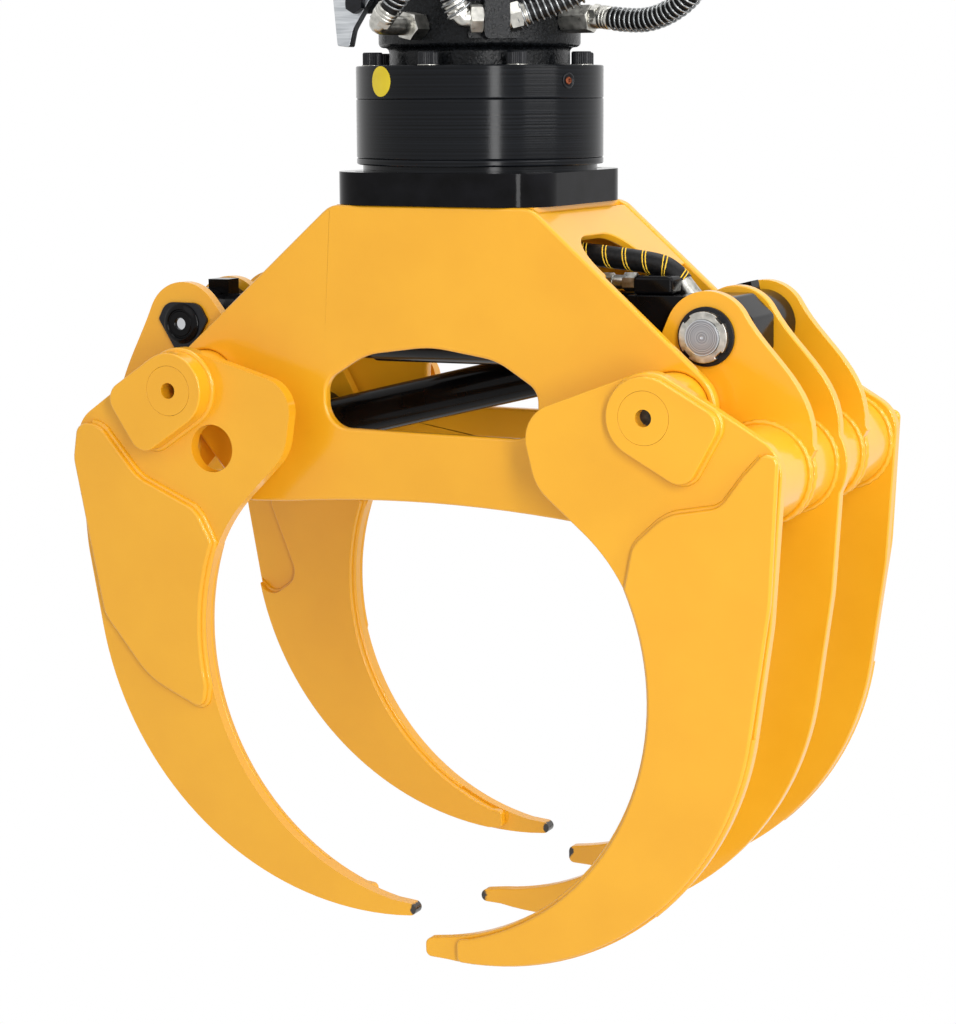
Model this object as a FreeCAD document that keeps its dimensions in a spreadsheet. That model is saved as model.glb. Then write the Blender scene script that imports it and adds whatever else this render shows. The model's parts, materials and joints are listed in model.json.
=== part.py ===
"""Log grapple: a five-tine timber grab hanging from a flanged hydraulic rotator.

Frame: origin at the centre of the rotator's link-pin bore, +Z up, +X the way the
right jaw opens, +Y away from the front tines.  Millimetres.
"""
import FreeCAD, Part

import math
import os

import Sketcher

Vector = FreeCAD.Vector

doc = FreeCAD.newDocument("log_grapple")
sheet = doc.addObject("Spreadsheet::Sheet", "sizes")

# name, value, what it is (lengths in mm, angles in degrees)
SIZES = [
    ("pin_drop", 600, "link-pin bore down to the main pins"),
    ("pin_half_span", 320, "centre line to each main pin"),
    ("running_gap", 0.05, "radial clearance of a pin in its bush"),
    ("side_gap", 0.5, "clearance between faces that slide past each other"),
    ("open_pivot_gap", 2.2, "radial clearance of the two pivots left open"),
    # rotator
    ("link_bore", 50.1, "bore for the crane's link pin"),
    ("ear_radius", 48, "round top of each ear"),
    ("ear_wall", 34, "thickness of each ear"),
    ("ear_gap", 72, "space between the ears"),
    ("head_radius", 125, "cast head"),
    ("head_drop", 110, "bore centre down to the head's shoulder"),
    ("head_skirt", 72, "height of the head's round part"),
    ("neck_radius", 112, "neck between the head and the cover"),
    ("cast_round", 6, "rounded edges of the casting"),
    ("port_boss_out", 36, "boss of the two middle ports, out of the head"),
    ("port_boss_width", 30, "its width between the two ports"),
    ("neck_length", 22, "height of the neck"),
    ("housing_radius", 153.5, "rotator housing"),
    ("cover_thick", 40, "upper cover"),
    ("stator_thick", 72, "stator ring"),
    ("lower_thick", 8, "lower cover"),
    ("groove_depth", 1.2, "turned joint grooves"),
    ("rotor_step", 7.5, "turning ring inside the housing's side"),
    ("drum_radius", 100, "bore of the stator ring"),
    ("rotor_thick", 7, "height of that ring"),
    ("shaft_radius", 60, "rotor shaft inside the housing"),
    ("flange_side", 290, "square flange plate"),
    ("flange_corner", 60, "its corner radius"),
    ("bolt_inset", 36, "flange bolts in from its sides"),
    ("flange_thick", 40, "its thickness"),
    ("screw_inset", 15.5, "cap screws in from the housing's side"),
    ("screw_head", 24, "M16 cap-screw head diameter"),
    ("screw_rise", 16, "height of a screw head"),
    ("screw_count", 8, "cap screws in the housing"),
    ("hook_thick", 14, "steel hook plate beside the ears"),
    ("port_height", 32, "hose ports above the head's bottom edge"),
    # frame
    ("cheek_half_width", 142.5, "centre plane to the outer face of a cheek"),
    ("cheek_thick", 15, "frame side plate"),
    ("frame_top_half", 134, "half length of the frame's top"),
    ("frame_slope", 41, "slope of the frame's shoulders"),
    ("frame_rim", 52, "round end of a cheek about its main pin"),
    ("frame_low", 147, "main pins down to the cheek's low corners"),
    ("frame_low_half", 264, "half length of the cheek's bottom edge"),
    ("frame_arch", 14, "rise of the bottom edge at the middle"),
    ("window_half", 145, "half length of the window in a cheek"),
    ("window_top", 56, "window's top above the main pins"),
    ("window_low", 47, "window's bottom below them"),
    ("top_plate_thick", 20, "frame's top plate"),
    ("end_plate_thick", 10, "sloping end plates"),
    ("end_plate_length", 112, "length of an end plate down the slope"),
    ("notch_width", 156, "hose notch in an end plate"),
    ("notch_shift", 40, "its middle in front of the centre plane"),
    ("notch_edge", 44, "top of the slope to the notch"),
    # pins
    ("main_pin", 50, "main pin diameter"),
    ("bush_wall", 9, "main pin bush"),
    ("bush_outer", 86, "frame's boss tube about a bush"),
    ("horn_pin", 42, "cylinder and link pins"),
    ("pin_cap", 62, "flush end disc of a main pin"),
    ("cap_gap", 0.3, "radial clearance of that disc in its pad"),
    ("cap_hole", 20, "jacking hole in the disc"),
    # jaws
    ("right_rest", 5.5, "right jaw's opening at rest"),
    ("tine_thick", 16, "tine plate"),
    ("left_tine_plane", 195, "centre plane to the middle of a left tine"),
    ("right_tine_plane", 212, "centre plane to the middle of an outer right tine"),
    ("overlay_thick", 10, "wear plate on a tine"),
    ("inner_wear", 12, "wear plate inside a left tine"),
    ("access_hole", 60, "hole in a left tine for knocking out the link pin"),
    ("left_pad_rise", 18, "left pin pad above the wear plates' side"),
    ("right_pad_rise", 5, "right pin pad above them"),
    ("pad_radius", 47, "pin pad about the pin"),
    ("pad_length", 84, "pin to the squared end of its pad"),
    ("pad_corner", 22, "corners of that end"),
    ("tine_rim", 51, "round top of a tine about the pin"),
    ("tine_heel", 163, "inner corner of a tine, inward of the pin"),
    ("tine_knee", 150, "corner below it, inward of the pin"),
    ("tine_knee_down", 76, "and below the pin"),
    ("tine_shoulder", 158, "outer corner of a tine, outward of the pin"),
    ("tine_shoulder_down", 50, "and below it"),
    ("throat_radius", 323, "inner curve of a tine"),
    ("throat_face", 36, "top of that curve, inward of the pin"),
    ("throat_top", 240, "and below it"),
    ("throat_reach", 296, "a low point of that curve, inward of the pin"),
    ("throat_depth", 623, "and below it"),
    ("left_back_radius", 403, "outer curve of a left tine"),
    ("left_back_out", 126, "top of that curve, outward of the pin"),
    ("left_back_top", 314, "and below it"),
    ("left_back_depth", 642, "its lowest point, below the pin"),
    ("right_back_radius", 371, "outer curve of a right tine"),
    ("right_back_out", 98.5, "top of that curve, outward of the pin"),
    ("right_back_top", 372, "and below it"),
    ("right_back_depth", 654, "its lowest point, below the pin"),
    ("left_tip", 328, "tip of a left tine, inward of the pin"),
    ("right_tip", 355, "tip of an outer right tine"),
    ("middle_tip", 384, "tip of the middle tine"),
    ("tip_round", 8, "corners of a tip"),
    ("wear_edge", 3, "wear plates inside the tines' curves"),
    ("right_wear_toe", 308, "end of a right wear plate, inward of the pin"),
    ("inner_wear_toe", 262, "end of a left tine's inner wear plate"),
    ("horn_thick", 15, "horn plate"),
    ("left_horn_plane", 111.5, "centre plane to the outer left horn plates"),
    ("right_horn_plane", 96.5, "centre plane to the outer right horn plates"),
    ("horn_rim", 53, "round top of a horn"),
    ("left_horn_out", 46.7, "left horn pin, outward of the main pin"),
    ("left_horn_up", 73, "and above it"),
    ("right_horn_out", 32.7, "right horn pin, outward of the main pin"),
    ("right_horn_up", 79.1, "and above it"),
    ("lug_in", 45, "link lug on the left jaw, inward of the main pin"),
    ("lug_down", 73, "and below it"),
    ("tube_out", 87.5, "cross tube, outward of the main pin"),
    ("tube_down", 83, "and below it"),
    ("tube_diameter", 115, "cross tube"),
    ("tube_wall", 10, "its wall"),
    # cylinder and link
    ("cylinder_plane", 49, "cylinder in front of the centre plane"),
    ("link_plane", 48.5, "link behind it"),
    ("barrel_radius", 47.5, "cylinder tube"),
    ("bore_radius", 40, "cylinder bore"),
    ("rod_radius", 25, "piston rod"),
    ("eye_width", 74, "width of the cylinder's and link's eyes"),
    ("eye_radius", 42, "outer radius of an eye"),
    ("barrel_start", 110, "right horn pin to the cap end of the tube"),
    ("barrel_length", 352, "cylinder tube"),
    ("gland_length", 28, "gland nut outside the tube"),
    ("piston_at", 325, "right horn pin to the middle of the piston"),
    ("piston_length", 36, "piston"),
    ("link_radius", 28.5, "synchronising link's tube"),
    ("link_pin", 32, "link's pin in the left jaw's lug"),
    ("link_slot", 25, "free height of the link's open eye"),
    ("link_slot_drop", 3.6, "middle of that slot below the link's axis"),
    ("link_eye_wall", 15, "wall round the slot"),
    # hoses
    ("hose_radius", 11, "crane hoses"),
    ("pipe_radius", 13.5, "cylinder hoses"),
    ("port_side", 10, "cap port and steel pipe in front of the cylinder's axis"),
    ("port_rise", 58.5, "and above it"),
    ("steel_pipe", 6, "radius of the steel pipe along the barrel"),
]

row = 1
for name, number, note in SIZES:
    sheet.set("A%d" % row, name)
    sheet.set("B%d" % row, str(number))
    sheet.set("C%d" % row, note)
    sheet.setAlias("B%d" % row, name)
    row += 1
doc.recompute()


def size(name):
    return float(sheet.get(name))


PARTS = []


def done(part, label):
    part.Label = label
    PARTS.append(part)
    return part


# ---------------------------------------------------------------- outlines
def point(x, z):
    return Vector(x, z, 0)


def rounded(corners, closed=True):
    """Edges through corners (x, z, fillet radius), straight between the fillets."""
    edges = []
    count = len(corners)
    starts, ends = [], []
    for i, (x, z, radius) in enumerate(corners):
        here = point(x, z)
        if radius <= 0 or (not closed and i in (0, count - 1)):
            starts.append(here)
            ends.append(here)
            continue
        before = point(*corners[i - 1][:2])
        after = point(*corners[(i + 1) % count][:2])
        back = (before - here).normalize()
        ahead = (after - here).normalize()
        half = back.getAngle(ahead) / 2
        run = radius / math.tan(half)
        middle = (back + ahead).normalize()
        centre = here + middle * (radius / math.sin(half))
        first, last = here + back * run, here + ahead * run
        edges.append((i, Part.Arc(first, centre - middle * radius, last)))
        starts.append(first)
        ends.append(last)
    arcs = dict(edges)
    path = []
    for i in range(count):
        if i in arcs:
            path.append(arcs[i])
        if i < count - 1 or closed:
            a, b = ends[i], starts[(i + 1) % count]
            if a.distanceToPoint(b) > 1e-6:
                path.append(Part.LineSegment(a, b))
    return path


def arc_about(cx, cz, radius, start, end):
    """Arc about a centre, from one angle to another in degrees."""
    def on(angle):
        a = math.radians(angle)
        return point(cx + radius * math.cos(a), cz + radius * math.sin(a))
    return Part.Arc(on(start), on((start + end) / 2), on(end))


def hull(circles):
    """Outline pulled tight round circles (x, z, radius) given anticlockwise."""
    count = len(circles)
    leave, reach = [None] * count, [None] * count
    for i in range(count):
        x1, z1, r1 = circles[i]
        x2, z2, r2 = circles[(i + 1) % count]
        gap = math.hypot(x2 - x1, z2 - z1)
        along = math.atan2(z2 - z1, x2 - x1)
        normal = along - math.pi / 2 + math.asin((r2 - r1) / gap) * -1
        leave[i] = normal
        reach[(i + 1) % count] = normal
    path = []
    for i, (x, z, radius) in enumerate(circles):
        first, last = math.degrees(reach[i]), math.degrees(leave[i])
        while last < first:
            last += 360
        path.append(arc_about(x, z, radius, first, last))
        nx, nz, nr = circles[(i + 1) % count]
        a = leave[i]
        start = point(x + radius * math.cos(a), z + radius * math.sin(a))
        end = point(nx + nr * math.cos(a), nz + nr * math.sin(a))
        path.append(Part.LineSegment(start, end))
    return path


def mirrored(path):
    """The same outline with x turned round."""
    turned = []
    for piece in path:
        if isinstance(piece, Part.Circle):
            turned.append(Part.Circle(Vector(-piece.Center.x, piece.Center.y, 0), Vector(0, 0, 1), piece.Radius))
            continue
        edge = piece.toShape()
        first, last = edge.FirstParameter, edge.LastParameter
        spots = [edge.valueAt(t) for t in (first, (first + last) / 2, last)]
        a, m, b = [Vector(-p.x, p.y, 0) for p in spots]
        turned.append(Part.LineSegment(a, b) if isinstance(piece, Part.LineSegment) else Part.Arc(a, m, b))
    return turned


# ---------------------------------------------------------------- features
def plane_of(body, role):
    for feature in body.Origin.OriginFeatures:
        if feature.Role == role:
            return feature
    raise RuntimeError("no plane " + role)


def new_body(label):
    body = doc.addObject("PartDesign::Body", label)
    body.Label = label
    return body


def sketch_on(body, role, path):
    sketch = body.newObject("Sketcher::SketchObject", body.Name + "_sketch")
    sketch.AttachmentSupport = (plane_of(body, role), [""])
    sketch.MapMode = "FlatFace"
    for piece in path:
        sketch.addGeometry(piece, False)
    return sketch


def add_hole(sketch, x, z, across, gap=None):
    """A round hole for the named diameter, with the named clearance round it."""
    diameter = size(across) + (2 * size(gap) if gap else 0)
    text = "sizes." + across + (" + 2 * sizes." + gap if gap else "")
    circle = Part.Circle(point(x, z), Vector(0, 0, 1), diameter / 2)
    index = sketch.addGeometry(circle, False)
    spot = sketch.addConstraint(Sketcher.Constraint("Diameter", index, diameter))
    sketch.setExpression("Constraints[%d]" % spot, text)


def pad_from(body, sketch, thick, both_ways=True):
    pad = body.newObject("PartDesign::Pad", body.Name + "_pad")
    pad.Profile = sketch
    if both_ways:
        pad.SideType = "Symmetric"
    pad.setExpression("Length", thick)
    sketch.Visibility = False
    return pad


def pocket_from(body, sketch):
    """Cuts right through, both ways; the volume has to fall."""
    doc.recompute()
    before = body.Shape.Volume
    cut = body.newObject("PartDesign::Pocket", body.Name + "_pocket")
    cut.Profile = sketch
    cut.Type = "ThroughAll"
    cut.SideType = "Symmetric"
    doc.recompute()
    if body.Shape.Volume >= before:
        raise RuntimeError(body.Label + ": a pocket cut nothing")
    return cut


def place(part, x="0", y="0", z="0", turn=0):
    part.Placement = FreeCAD.Placement(Vector(), FreeCAD.Rotation(Vector(0, 1, 0), turn))
    for axis, text in zip("xyz", (x, y, z)):
        part.setExpression("Placement.Base." + axis, text)
    return part


def plate(label, path, thick, holes=()):
    """A plate standing in the XZ plane, centred on it."""
    body = new_body(label)
    sketch = sketch_on(body, "XZ_Plane", path)
    for hole in holes:
        add_hole(sketch, *hole)
    pad_from(body, sketch, thick)
    return body


def turned(label, profile, axis="V_Axis", role="XZ_Plane"):
    """A piece turned from a closed profile of (radius, height) or (radius, height, fillet) corners."""
    body = new_body(label)
    corners = [tuple(corner) + (0,) * (3 - len(corner)) for corner in profile]
    sketch = sketch_on(body, role, rounded(corners))
    spin = body.newObject("PartDesign::Revolution", label + "_turned")
    spin.Profile = sketch
    spin.ReferenceAxis = (sketch, [axis])
    spin.Angle = 360
    return body


def together(label, parts):
    """Separate solids that share one node."""
    group = doc.addObject("Part::Compound", label)
    group.Links = parts
    return done(group, label)


def made(label, shape):
    piece = doc.addObject("Part::Feature", label)
    piece.Shape = shape
    return done(piece, label)


def rod_along(start, direction, length, radius):
    return Part.makeCylinder(radius, length, start, direction)


def hexagon(start, direction, across, length):
    """A hexagonal bar of the given width across flats."""
    reach = across / math.sqrt(3)
    ring = [Vector(reach * math.cos(i * math.pi / 3), reach * math.sin(i * math.pi / 3), 0) for i in range(7)]
    bar = Part.Face(Part.makePolygon(ring)).extrude(Vector(0, 0, length))
    bar.Placement = FreeCAD.Placement(start, FreeCAD.Rotation(Vector(0, 0, 1), direction))
    return bar


def hose(label, points, radius):
    """A tube through the points: straight runs joined by tangent arcs."""
    edges = []
    start = points[0]
    radii = []
    for i in range(1, len(points) - 1):
        here = points[i]
        back, ahead = points[i - 1] - here, points[i + 1] - here
        run = 0.45 * min(back.Length, ahead.Length)
        turn = math.pi - back.getAngle(ahead)
        bend = run / math.tan(turn / 2)
        radii.append(round(bend))
        back.normalize()
        ahead.normalize()
        first, last = here + back * run, here + ahead * run
        middle = (back + ahead).normalize()
        centre = here + middle * math.hypot(bend, run)
        edges.append(Part.LineSegment(start, first).toShape())
        edges.append(Part.Arc(first, centre - middle * bend, last).toShape())
        start = last
    edges.append(Part.LineSegment(start, points[-1]).toShape())
    path = Part.Wire(edges)
    ring = Part.Wire(Part.Circle(points[0], points[1] - points[0], radius).toShape())
    tube = path.makePipeShell([ring], True, True)
    expected = math.pi * radius ** 2 * path.Length
    print(label, "radii", radii, "volume ratio", round(tube.Volume / expected, 4))
    return made(label, tube)


# ---------------------------------------------------------------- levels and pivots
SHOULDER = -size("head_drop")
HEAD_LOW = SHOULDER - size("head_skirt")
COVER_TOP = HEAD_LOW - size("neck_length")
STATOR_TOP = COVER_TOP - size("cover_thick")
LOWER_TOP = STATOR_TOP - size("stator_thick")
HOUSING_LOW = LOWER_TOP - size("lower_thick")
ROTOR_TOP = HOUSING_LOW - size("side_gap")
FLANGE_TOP = ROTOR_TOP - size("rotor_thick")
FRAME_TOP = FLANGE_TOP - size("flange_thick")
PINS = -size("pin_drop")
REST = math.radians(size("right_rest"))


def opened(out, up, angle=REST):
    """A point of a jaw's own drawing after the jaw opens by an angle."""
    return (out * math.cos(angle) - up * math.sin(angle), up * math.cos(angle) + out * math.sin(angle))


half_span = size("pin_half_span")
right_out, right_up = opened(size("right_horn_out"), size("right_horn_up"))
LEFT_HORN = Vector(-half_span - size("left_horn_out"), 0, PINS + size("left_horn_up"))
RIGHT_HORN = Vector(half_span + right_out, 0, PINS + right_up)
LUG = Vector(-half_span + size("lug_in"), 0, PINS - size("lug_down"))
CYLINDER = RIGHT_HORN - LEFT_HORN
LINK = RIGHT_HORN - LUG
CYLINDER_TILT = -math.degrees(math.atan2(CYLINDER.z, CYLINDER.x))
LINK_TILT = -math.degrees(math.atan2(LINK.z, LINK.x))


# ---------------------------------------------------------------- rotator
def screw_holes(sketch):
    for i in range(int(size("screw_count"))):
        a = math.radians(360 * i / size("screw_count"))
        reach = SCREW_CIRCLE
        circle = Part.Circle(point(reach * math.cos(a), reach * math.sin(a)), Vector(0, 0, 1), SHANK + 0.1)
        sketch.addGeometry(circle, False)


SHANK = size("screw_head") / 3
SCREW_CIRCLE = size("housing_radius") - size("screw_inset")
PORTS = HEAD_LOW + size("port_height")


# azimuth of the boss that carries the two middle ports, and of the lug beside the ears
BOSS_AZIMUTH = -56
LUG_REACH, LUG_SIDE, LUG_WIDTH = 142, 52, 24
# front face of the hook plate bolted to that lug
HOOK_FACE = -LUG_SIDE - LUG_WIDTH / 2 - size("hook_thick")


def cast_block(name, width, low, high, reach, azimuth, aside=0):
    """A block of the casting that runs out from the axis, turned to an azimuth."""
    body = new_body(name)
    half = width / 2
    edge = min(half, (high - low) / 2) * 0.4
    sketch = sketch_on(body, "YZ_Plane", rounded([
        (aside - half, low, edge), (aside + half, low, edge), (aside + half, high, edge), (aside - half, high, edge)]))
    pad_from(body, sketch, str(reach), both_ways=False)
    body.Placement = FreeCAD.Placement(Vector(), FreeCAD.Rotation(Vector(0, 0, 1), azimuth))
    return body


def rotator_head():
    head, neck, edge = size("head_radius"), size("neck_radius"), size("cast_round")
    body = turned("head_casting", [
        (0, COVER_TOP), (neck, COVER_TOP), (neck, HEAD_LOW, edge), (head, HEAD_LOW, edge),
        (head, SHOULDER - 8), (head - 8, SHOULDER), (78, SHOULDER + 26), (0, SHOULDER + 26)])
    ears = sketch_on(body, "YZ_Plane", hull([
        (0, 0, size("ear_radius")), (-64, SHOULDER + 8, 6), (64, SHOULDER + 8, 6)]))
    add_hole(ears, 0, 0, "link_bore")
    pad_from(body, ears, "2 * sizes.ear_wall + sizes.ear_gap")
    half = size("ear_gap") / 2
    slot = sketch_on(body, "XZ_Plane", rounded([
        (-half, SHOULDER + 30, 12), (half, SHOULDER + 30, 12),
        (half, size("ear_radius") + 5, 0), (-half, size("ear_radius") + 5, 0)]))
    pocket_from(body, slot)
    boss = cast_block("port_boss", size("port_boss_width"), PORTS - 24, PORTS + 26,
                      head + size("port_boss_out"), BOSS_AZIMUTH)
    bar = cast_block("head_bar", 62, HEAD_LOW + 9, HEAD_LOW + 20, head + 6, BOSS_AZIMUTH)
    lug = cast_block("head_lug", LUG_WIDTH, PORTS + 10, SHOULDER - 2, LUG_REACH, 180, LUG_SIDE)
    cast = doc.addObject("Part::MultiFuse", "rotator_head")
    cast.Shapes = [body, boss, bar, lug]
    done(cast, "rotator_head")


def disc_plate(label, top, thick, inner=None, screws=True):
    body = new_body(label)
    path = [Part.Circle(point(0, 0), Vector(0, 0, 1), size("housing_radius"))]
    if inner:
        path.append(Part.Circle(point(0, 0), Vector(0, 0, 1), inner))
    sketch = sketch_on(body, "XY_Plane", path)
    if screws:
        screw_holes(sketch)
    pad_from(body, sketch, "sizes." + thick, both_ways=False)
    doc.recompute()
    rims = [
        "Edge%d" % (i + 1) for i, edge in enumerate(body.Shape.Edges)
        if isinstance(edge.Curve, Part.Circle) and abs(edge.Curve.Radius - size("housing_radius")) < 0.01
        and edge.Closed]
    blank = body.Tip
    ease = body.newObject("PartDesign::Chamfer", label + "_grooves")
    ease.Base = (blank, rims)
    ease.setExpression("Size", "sizes.groove_depth")
    place(body, z=str(top - size(thick)))
    return done(body, label)


def housing():
    disc_plate("upper_cover", COVER_TOP, "cover_thick", size("shaft_radius") + size("running_gap"))
    disc_plate("stator_ring", STATOR_TOP, "stator_thick", size("drum_radius"))
    disc_plate("lower_cover", LOWER_TOP, "lower_thick", size("shaft_radius") + size("running_gap"), screws=False)
    screws = []
    length = size("cover_thick") + size("stator_thick") - 6
    for i in range(int(size("screw_count"))):
        a = math.radians(360 * i / size("screw_count"))
        foot = Vector(SCREW_CIRCLE * math.cos(a), SCREW_CIRCLE * math.sin(a), COVER_TOP)
        head = rod_along(foot, Vector(0, 0, 1), size("screw_rise"), size("screw_head") / 2)
        socket = hexagon(foot + Vector(0, 0, size("screw_rise") - 8), Vector(0, 0, 1), SHANK * 1.75, 9)
        shank = rod_along(foot, Vector(0, 0, -1), length, SHANK)
        screws.append(head.cut(socket).fuse(shank))
    # and the one that holds the hook plate to its lug
    screws.append(hexagon(Vector(-129, HOOK_FACE, SHOULDER - 18), Vector(0, -1, 0), 22, 11))
    made("housing_screws", Part.makeCompound(screws))


def rotor():
    gap = size("side_gap")
    shaft = size("shaft_radius")
    drum = size("drum_radius") - size("running_gap")
    ring_radius = size("housing_radius") - size("rotor_step")
    body = turned("rotor_shaft", [
        (0, FLANGE_TOP), (shaft, FLANGE_TOP), (shaft, LOWER_TOP + gap), (drum, LOWER_TOP + gap),
        (drum, STATOR_TOP - gap), (shaft, STATOR_TOP - gap), (shaft, COVER_TOP - gap), (0, COVER_TOP - gap)])
    done(body, "rotor_shaft")
    ring = turned("rotor_ring", [
        (shaft, FLANGE_TOP), (ring_radius, FLANGE_TOP), (ring_radius, ROTOR_TOP), (shaft, ROTOR_TOP)])
    done(ring, "rotor_ring")
    half, corner = size("flange_side") / 2, size("flange_corner")
    flange = new_body("flange_plate")
    sketch = sketch_on(flange, "XY_Plane", rounded([
        (-half, -half, corner), (half, -half, corner), (half, half, corner), (-half, half, corner)]))
    bolt_holes(sketch)
    pad_from(flange, sketch, "sizes.flange_thick", both_ways=False)
    place(flange, z=str(FRAME_TOP))
    done(flange, "flange_plate")
    bolts = []
    length = size("top_plate_thick") + size("flange_thick") - 8
    for x, y in bolt_places():
        foot = Vector(x, y, FRAME_TOP - size("top_plate_thick"))
        head = hexagon(foot, Vector(0, 0, -1), size("screw_head"), size("screw_rise") - 4)
        bolts.append(head.fuse(rod_along(foot, Vector(0, 0, 1), length, SHANK)))
    made("flange_bolts", Part.makeCompound(bolts))


def bolt_places():
    reach = size("flange_side") / 2 - size("bolt_inset")
    return [(reach * i, reach * j) for i in (-1, 0, 1) for j in (-1, 0, 1) if i or j]


def bolt_holes(sketch):
    for x, y in bolt_places():
        sketch.addGeometry(Part.Circle(point(x, y), Vector(0, 0, 1), SHANK + 0.1), False)


# each crane hose in its port's own directions (outward, sideways, up): the port's azimuth,
# its place from the head's side, the way its fitting points, the fitting's nut and stem,
# whether that turns in an elbow, and the hose's points
CRANE_HOSES = [
    (-99, (0, 0, -8), (1, 0, 0), 26, 56, True,
     [(0, 0, 0), (0, 24, 25), (-1, 47, 52), (-3, 68, 80)]),
    (BOSS_AZIMUTH, (18, -1, 0), (0, -1, 0), 16, 8, True,
     [(0, 0, 0), (1, -12, 22), (2, -22, 48), (2, -30, 74)]),
    (BOSS_AZIMUTH, (18, 1, 0), (0, 0.97, 0.24), 16, 9, False,
     [(0, 0, 0), (4, 30, 9), (6, 58, 22), (6, 84, 39), (4, 107, 60)]),
    (-8, (0, 0, 0), (1, 0, 0), 40, 26, False,
     [(0, 0, 0), (37, -1, -5), (73, -4, 1), (106, -8, 17), (133, -12, 43), (151, -16, 76)]),
]


def hose_fitting(port, way, nut, stem, elbow, leave):
    """Hexagon, stem and, where it turns, a forged elbow, then the hose's sleeve; and the hose's start."""
    reach = size("hose_radius") + 3
    shape = hexagon(port - way * 6, way, 30, nut + 6)
    corner = port + way * (nut + stem)
    if elbow:
        shape = shape.fuse([rod_along(port, way, nut + stem, reach - 2), Part.makeSphere(reach, corner)])
        start = corner + leave * 26
    else:
        shape = shape.fuse(rod_along(port, way, nut + stem - 12, reach - 2))
        start = corner
    return shape.fuse(rod_along(start - leave * 15, leave, 15, reach)), start


def ports_and_hoses():
    fittings = []
    head = size("head_radius")
    for number, (azimuth, at, way, nut, stem, elbow, route) in enumerate(CRANE_HOSES):
        a = math.radians(azimuth)
        out, side, up = Vector(math.cos(a), math.sin(a), 0), Vector(-math.sin(a), math.cos(a), 0), Vector(0, 0, 1)

        def turned_to(v):
            return out * v[0] + side * v[1] + up * v[2]

        from_boss = at[1] * size("port_boss_width") / 2
        port = out * (head + at[0]) + side * from_boss + up * (PORTS + at[2])
        leave = turned_to(route[1]).normalize()
        shape, start = hose_fitting(port, turned_to(way).normalize(), nut, stem, elbow, leave)
        fittings.append(shape.cut(doc.getObject("rotator_head").Shape))
        spots = [start + turned_to(v) for v in route]
        hose("crane_hose_%d" % (number + 1), spots, size("hose_radius"))
        leave = (spots[-1] - spots[-2]).normalize()
        sleeve = rod_along(spots[-1], leave, 26, size("hose_radius") + 3)
        fittings.append(sleeve.fuse(hexagon(spots[-1] + leave * 26, leave, 27, 20)))
    made("port_fittings", Part.makeCompound(fittings))
    hook = plate("side_hook", rounded([
        (-166, -96, 6), (-158, -179, 3), (-141, -181, 3), (-136, -160, 24), (-112, -124, 6), (-112, -96, 6)]),
        "sizes.hook_thick")
    place(hook, y=str(HOOK_FACE + size("hook_thick") / 2))
    done(hook, "side_hook")


# ---------------------------------------------------------------- frame
def cheek_outline():
    """Half outline from the pins' level, mirrored: top, shoulders, pin ends, arched bottom."""
    top = FRAME_TOP - PINS
    slope = math.radians(size("frame_slope"))
    span, rim = half_span, size("frame_rim")
    low, low_half = -size("frame_low"), size("frame_low_half")
    side = math.pi / 2 - slope
    # the shoulder line touches the pin's rim circle
    touch_x, touch_z = span + rim * math.sin(slope), rim * math.cos(slope)
    run = (top - touch_z) / math.tan(slope)
    half_top = touch_x - run
    # the lower line runs from the low corner to touch the same circle
    dx, dz = low_half - span, low
    reach = math.hypot(dx, dz)
    away = math.atan2(dz, dx) + math.acos(rim / reach)
    foot_x, foot_z = span + rim * math.cos(away), rim * math.sin(away)
    end = Part.Arc(point(foot_x, foot_z), point(span + rim * math.cos((away + side) / 2), rim * math.sin((away + side) / 2)),
                   point(touch_x, touch_z))
    right = rounded([
        (0, top, 0), (half_top, top, 30), (touch_x, touch_z, 0)], closed=False)
    under = rounded([
        (foot_x, foot_z, 0), (low_half, low, 24), (low_half - 60, low + 3, 0)], closed=False)
    arch = Part.Arc(point(low_half - 60, low + 3), point(0, low + size("frame_arch")), point(60 - low_half, low + 3))
    half = right + [end] + under
    return half + mirrored(half) + [arch]


def window_outline():
    half, top, low = size("window_half"), size("window_top"), -size("window_low")
    corner = 32
    return rounded([
        (-half, low, corner), (half, low, corner),
        (half, 12, 26), (half * 0.62, top * 0.82, 90), (0, top + 3, 160),
        (-half * 0.62, top * 0.82, 90), (-half, 12, 26)])


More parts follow.
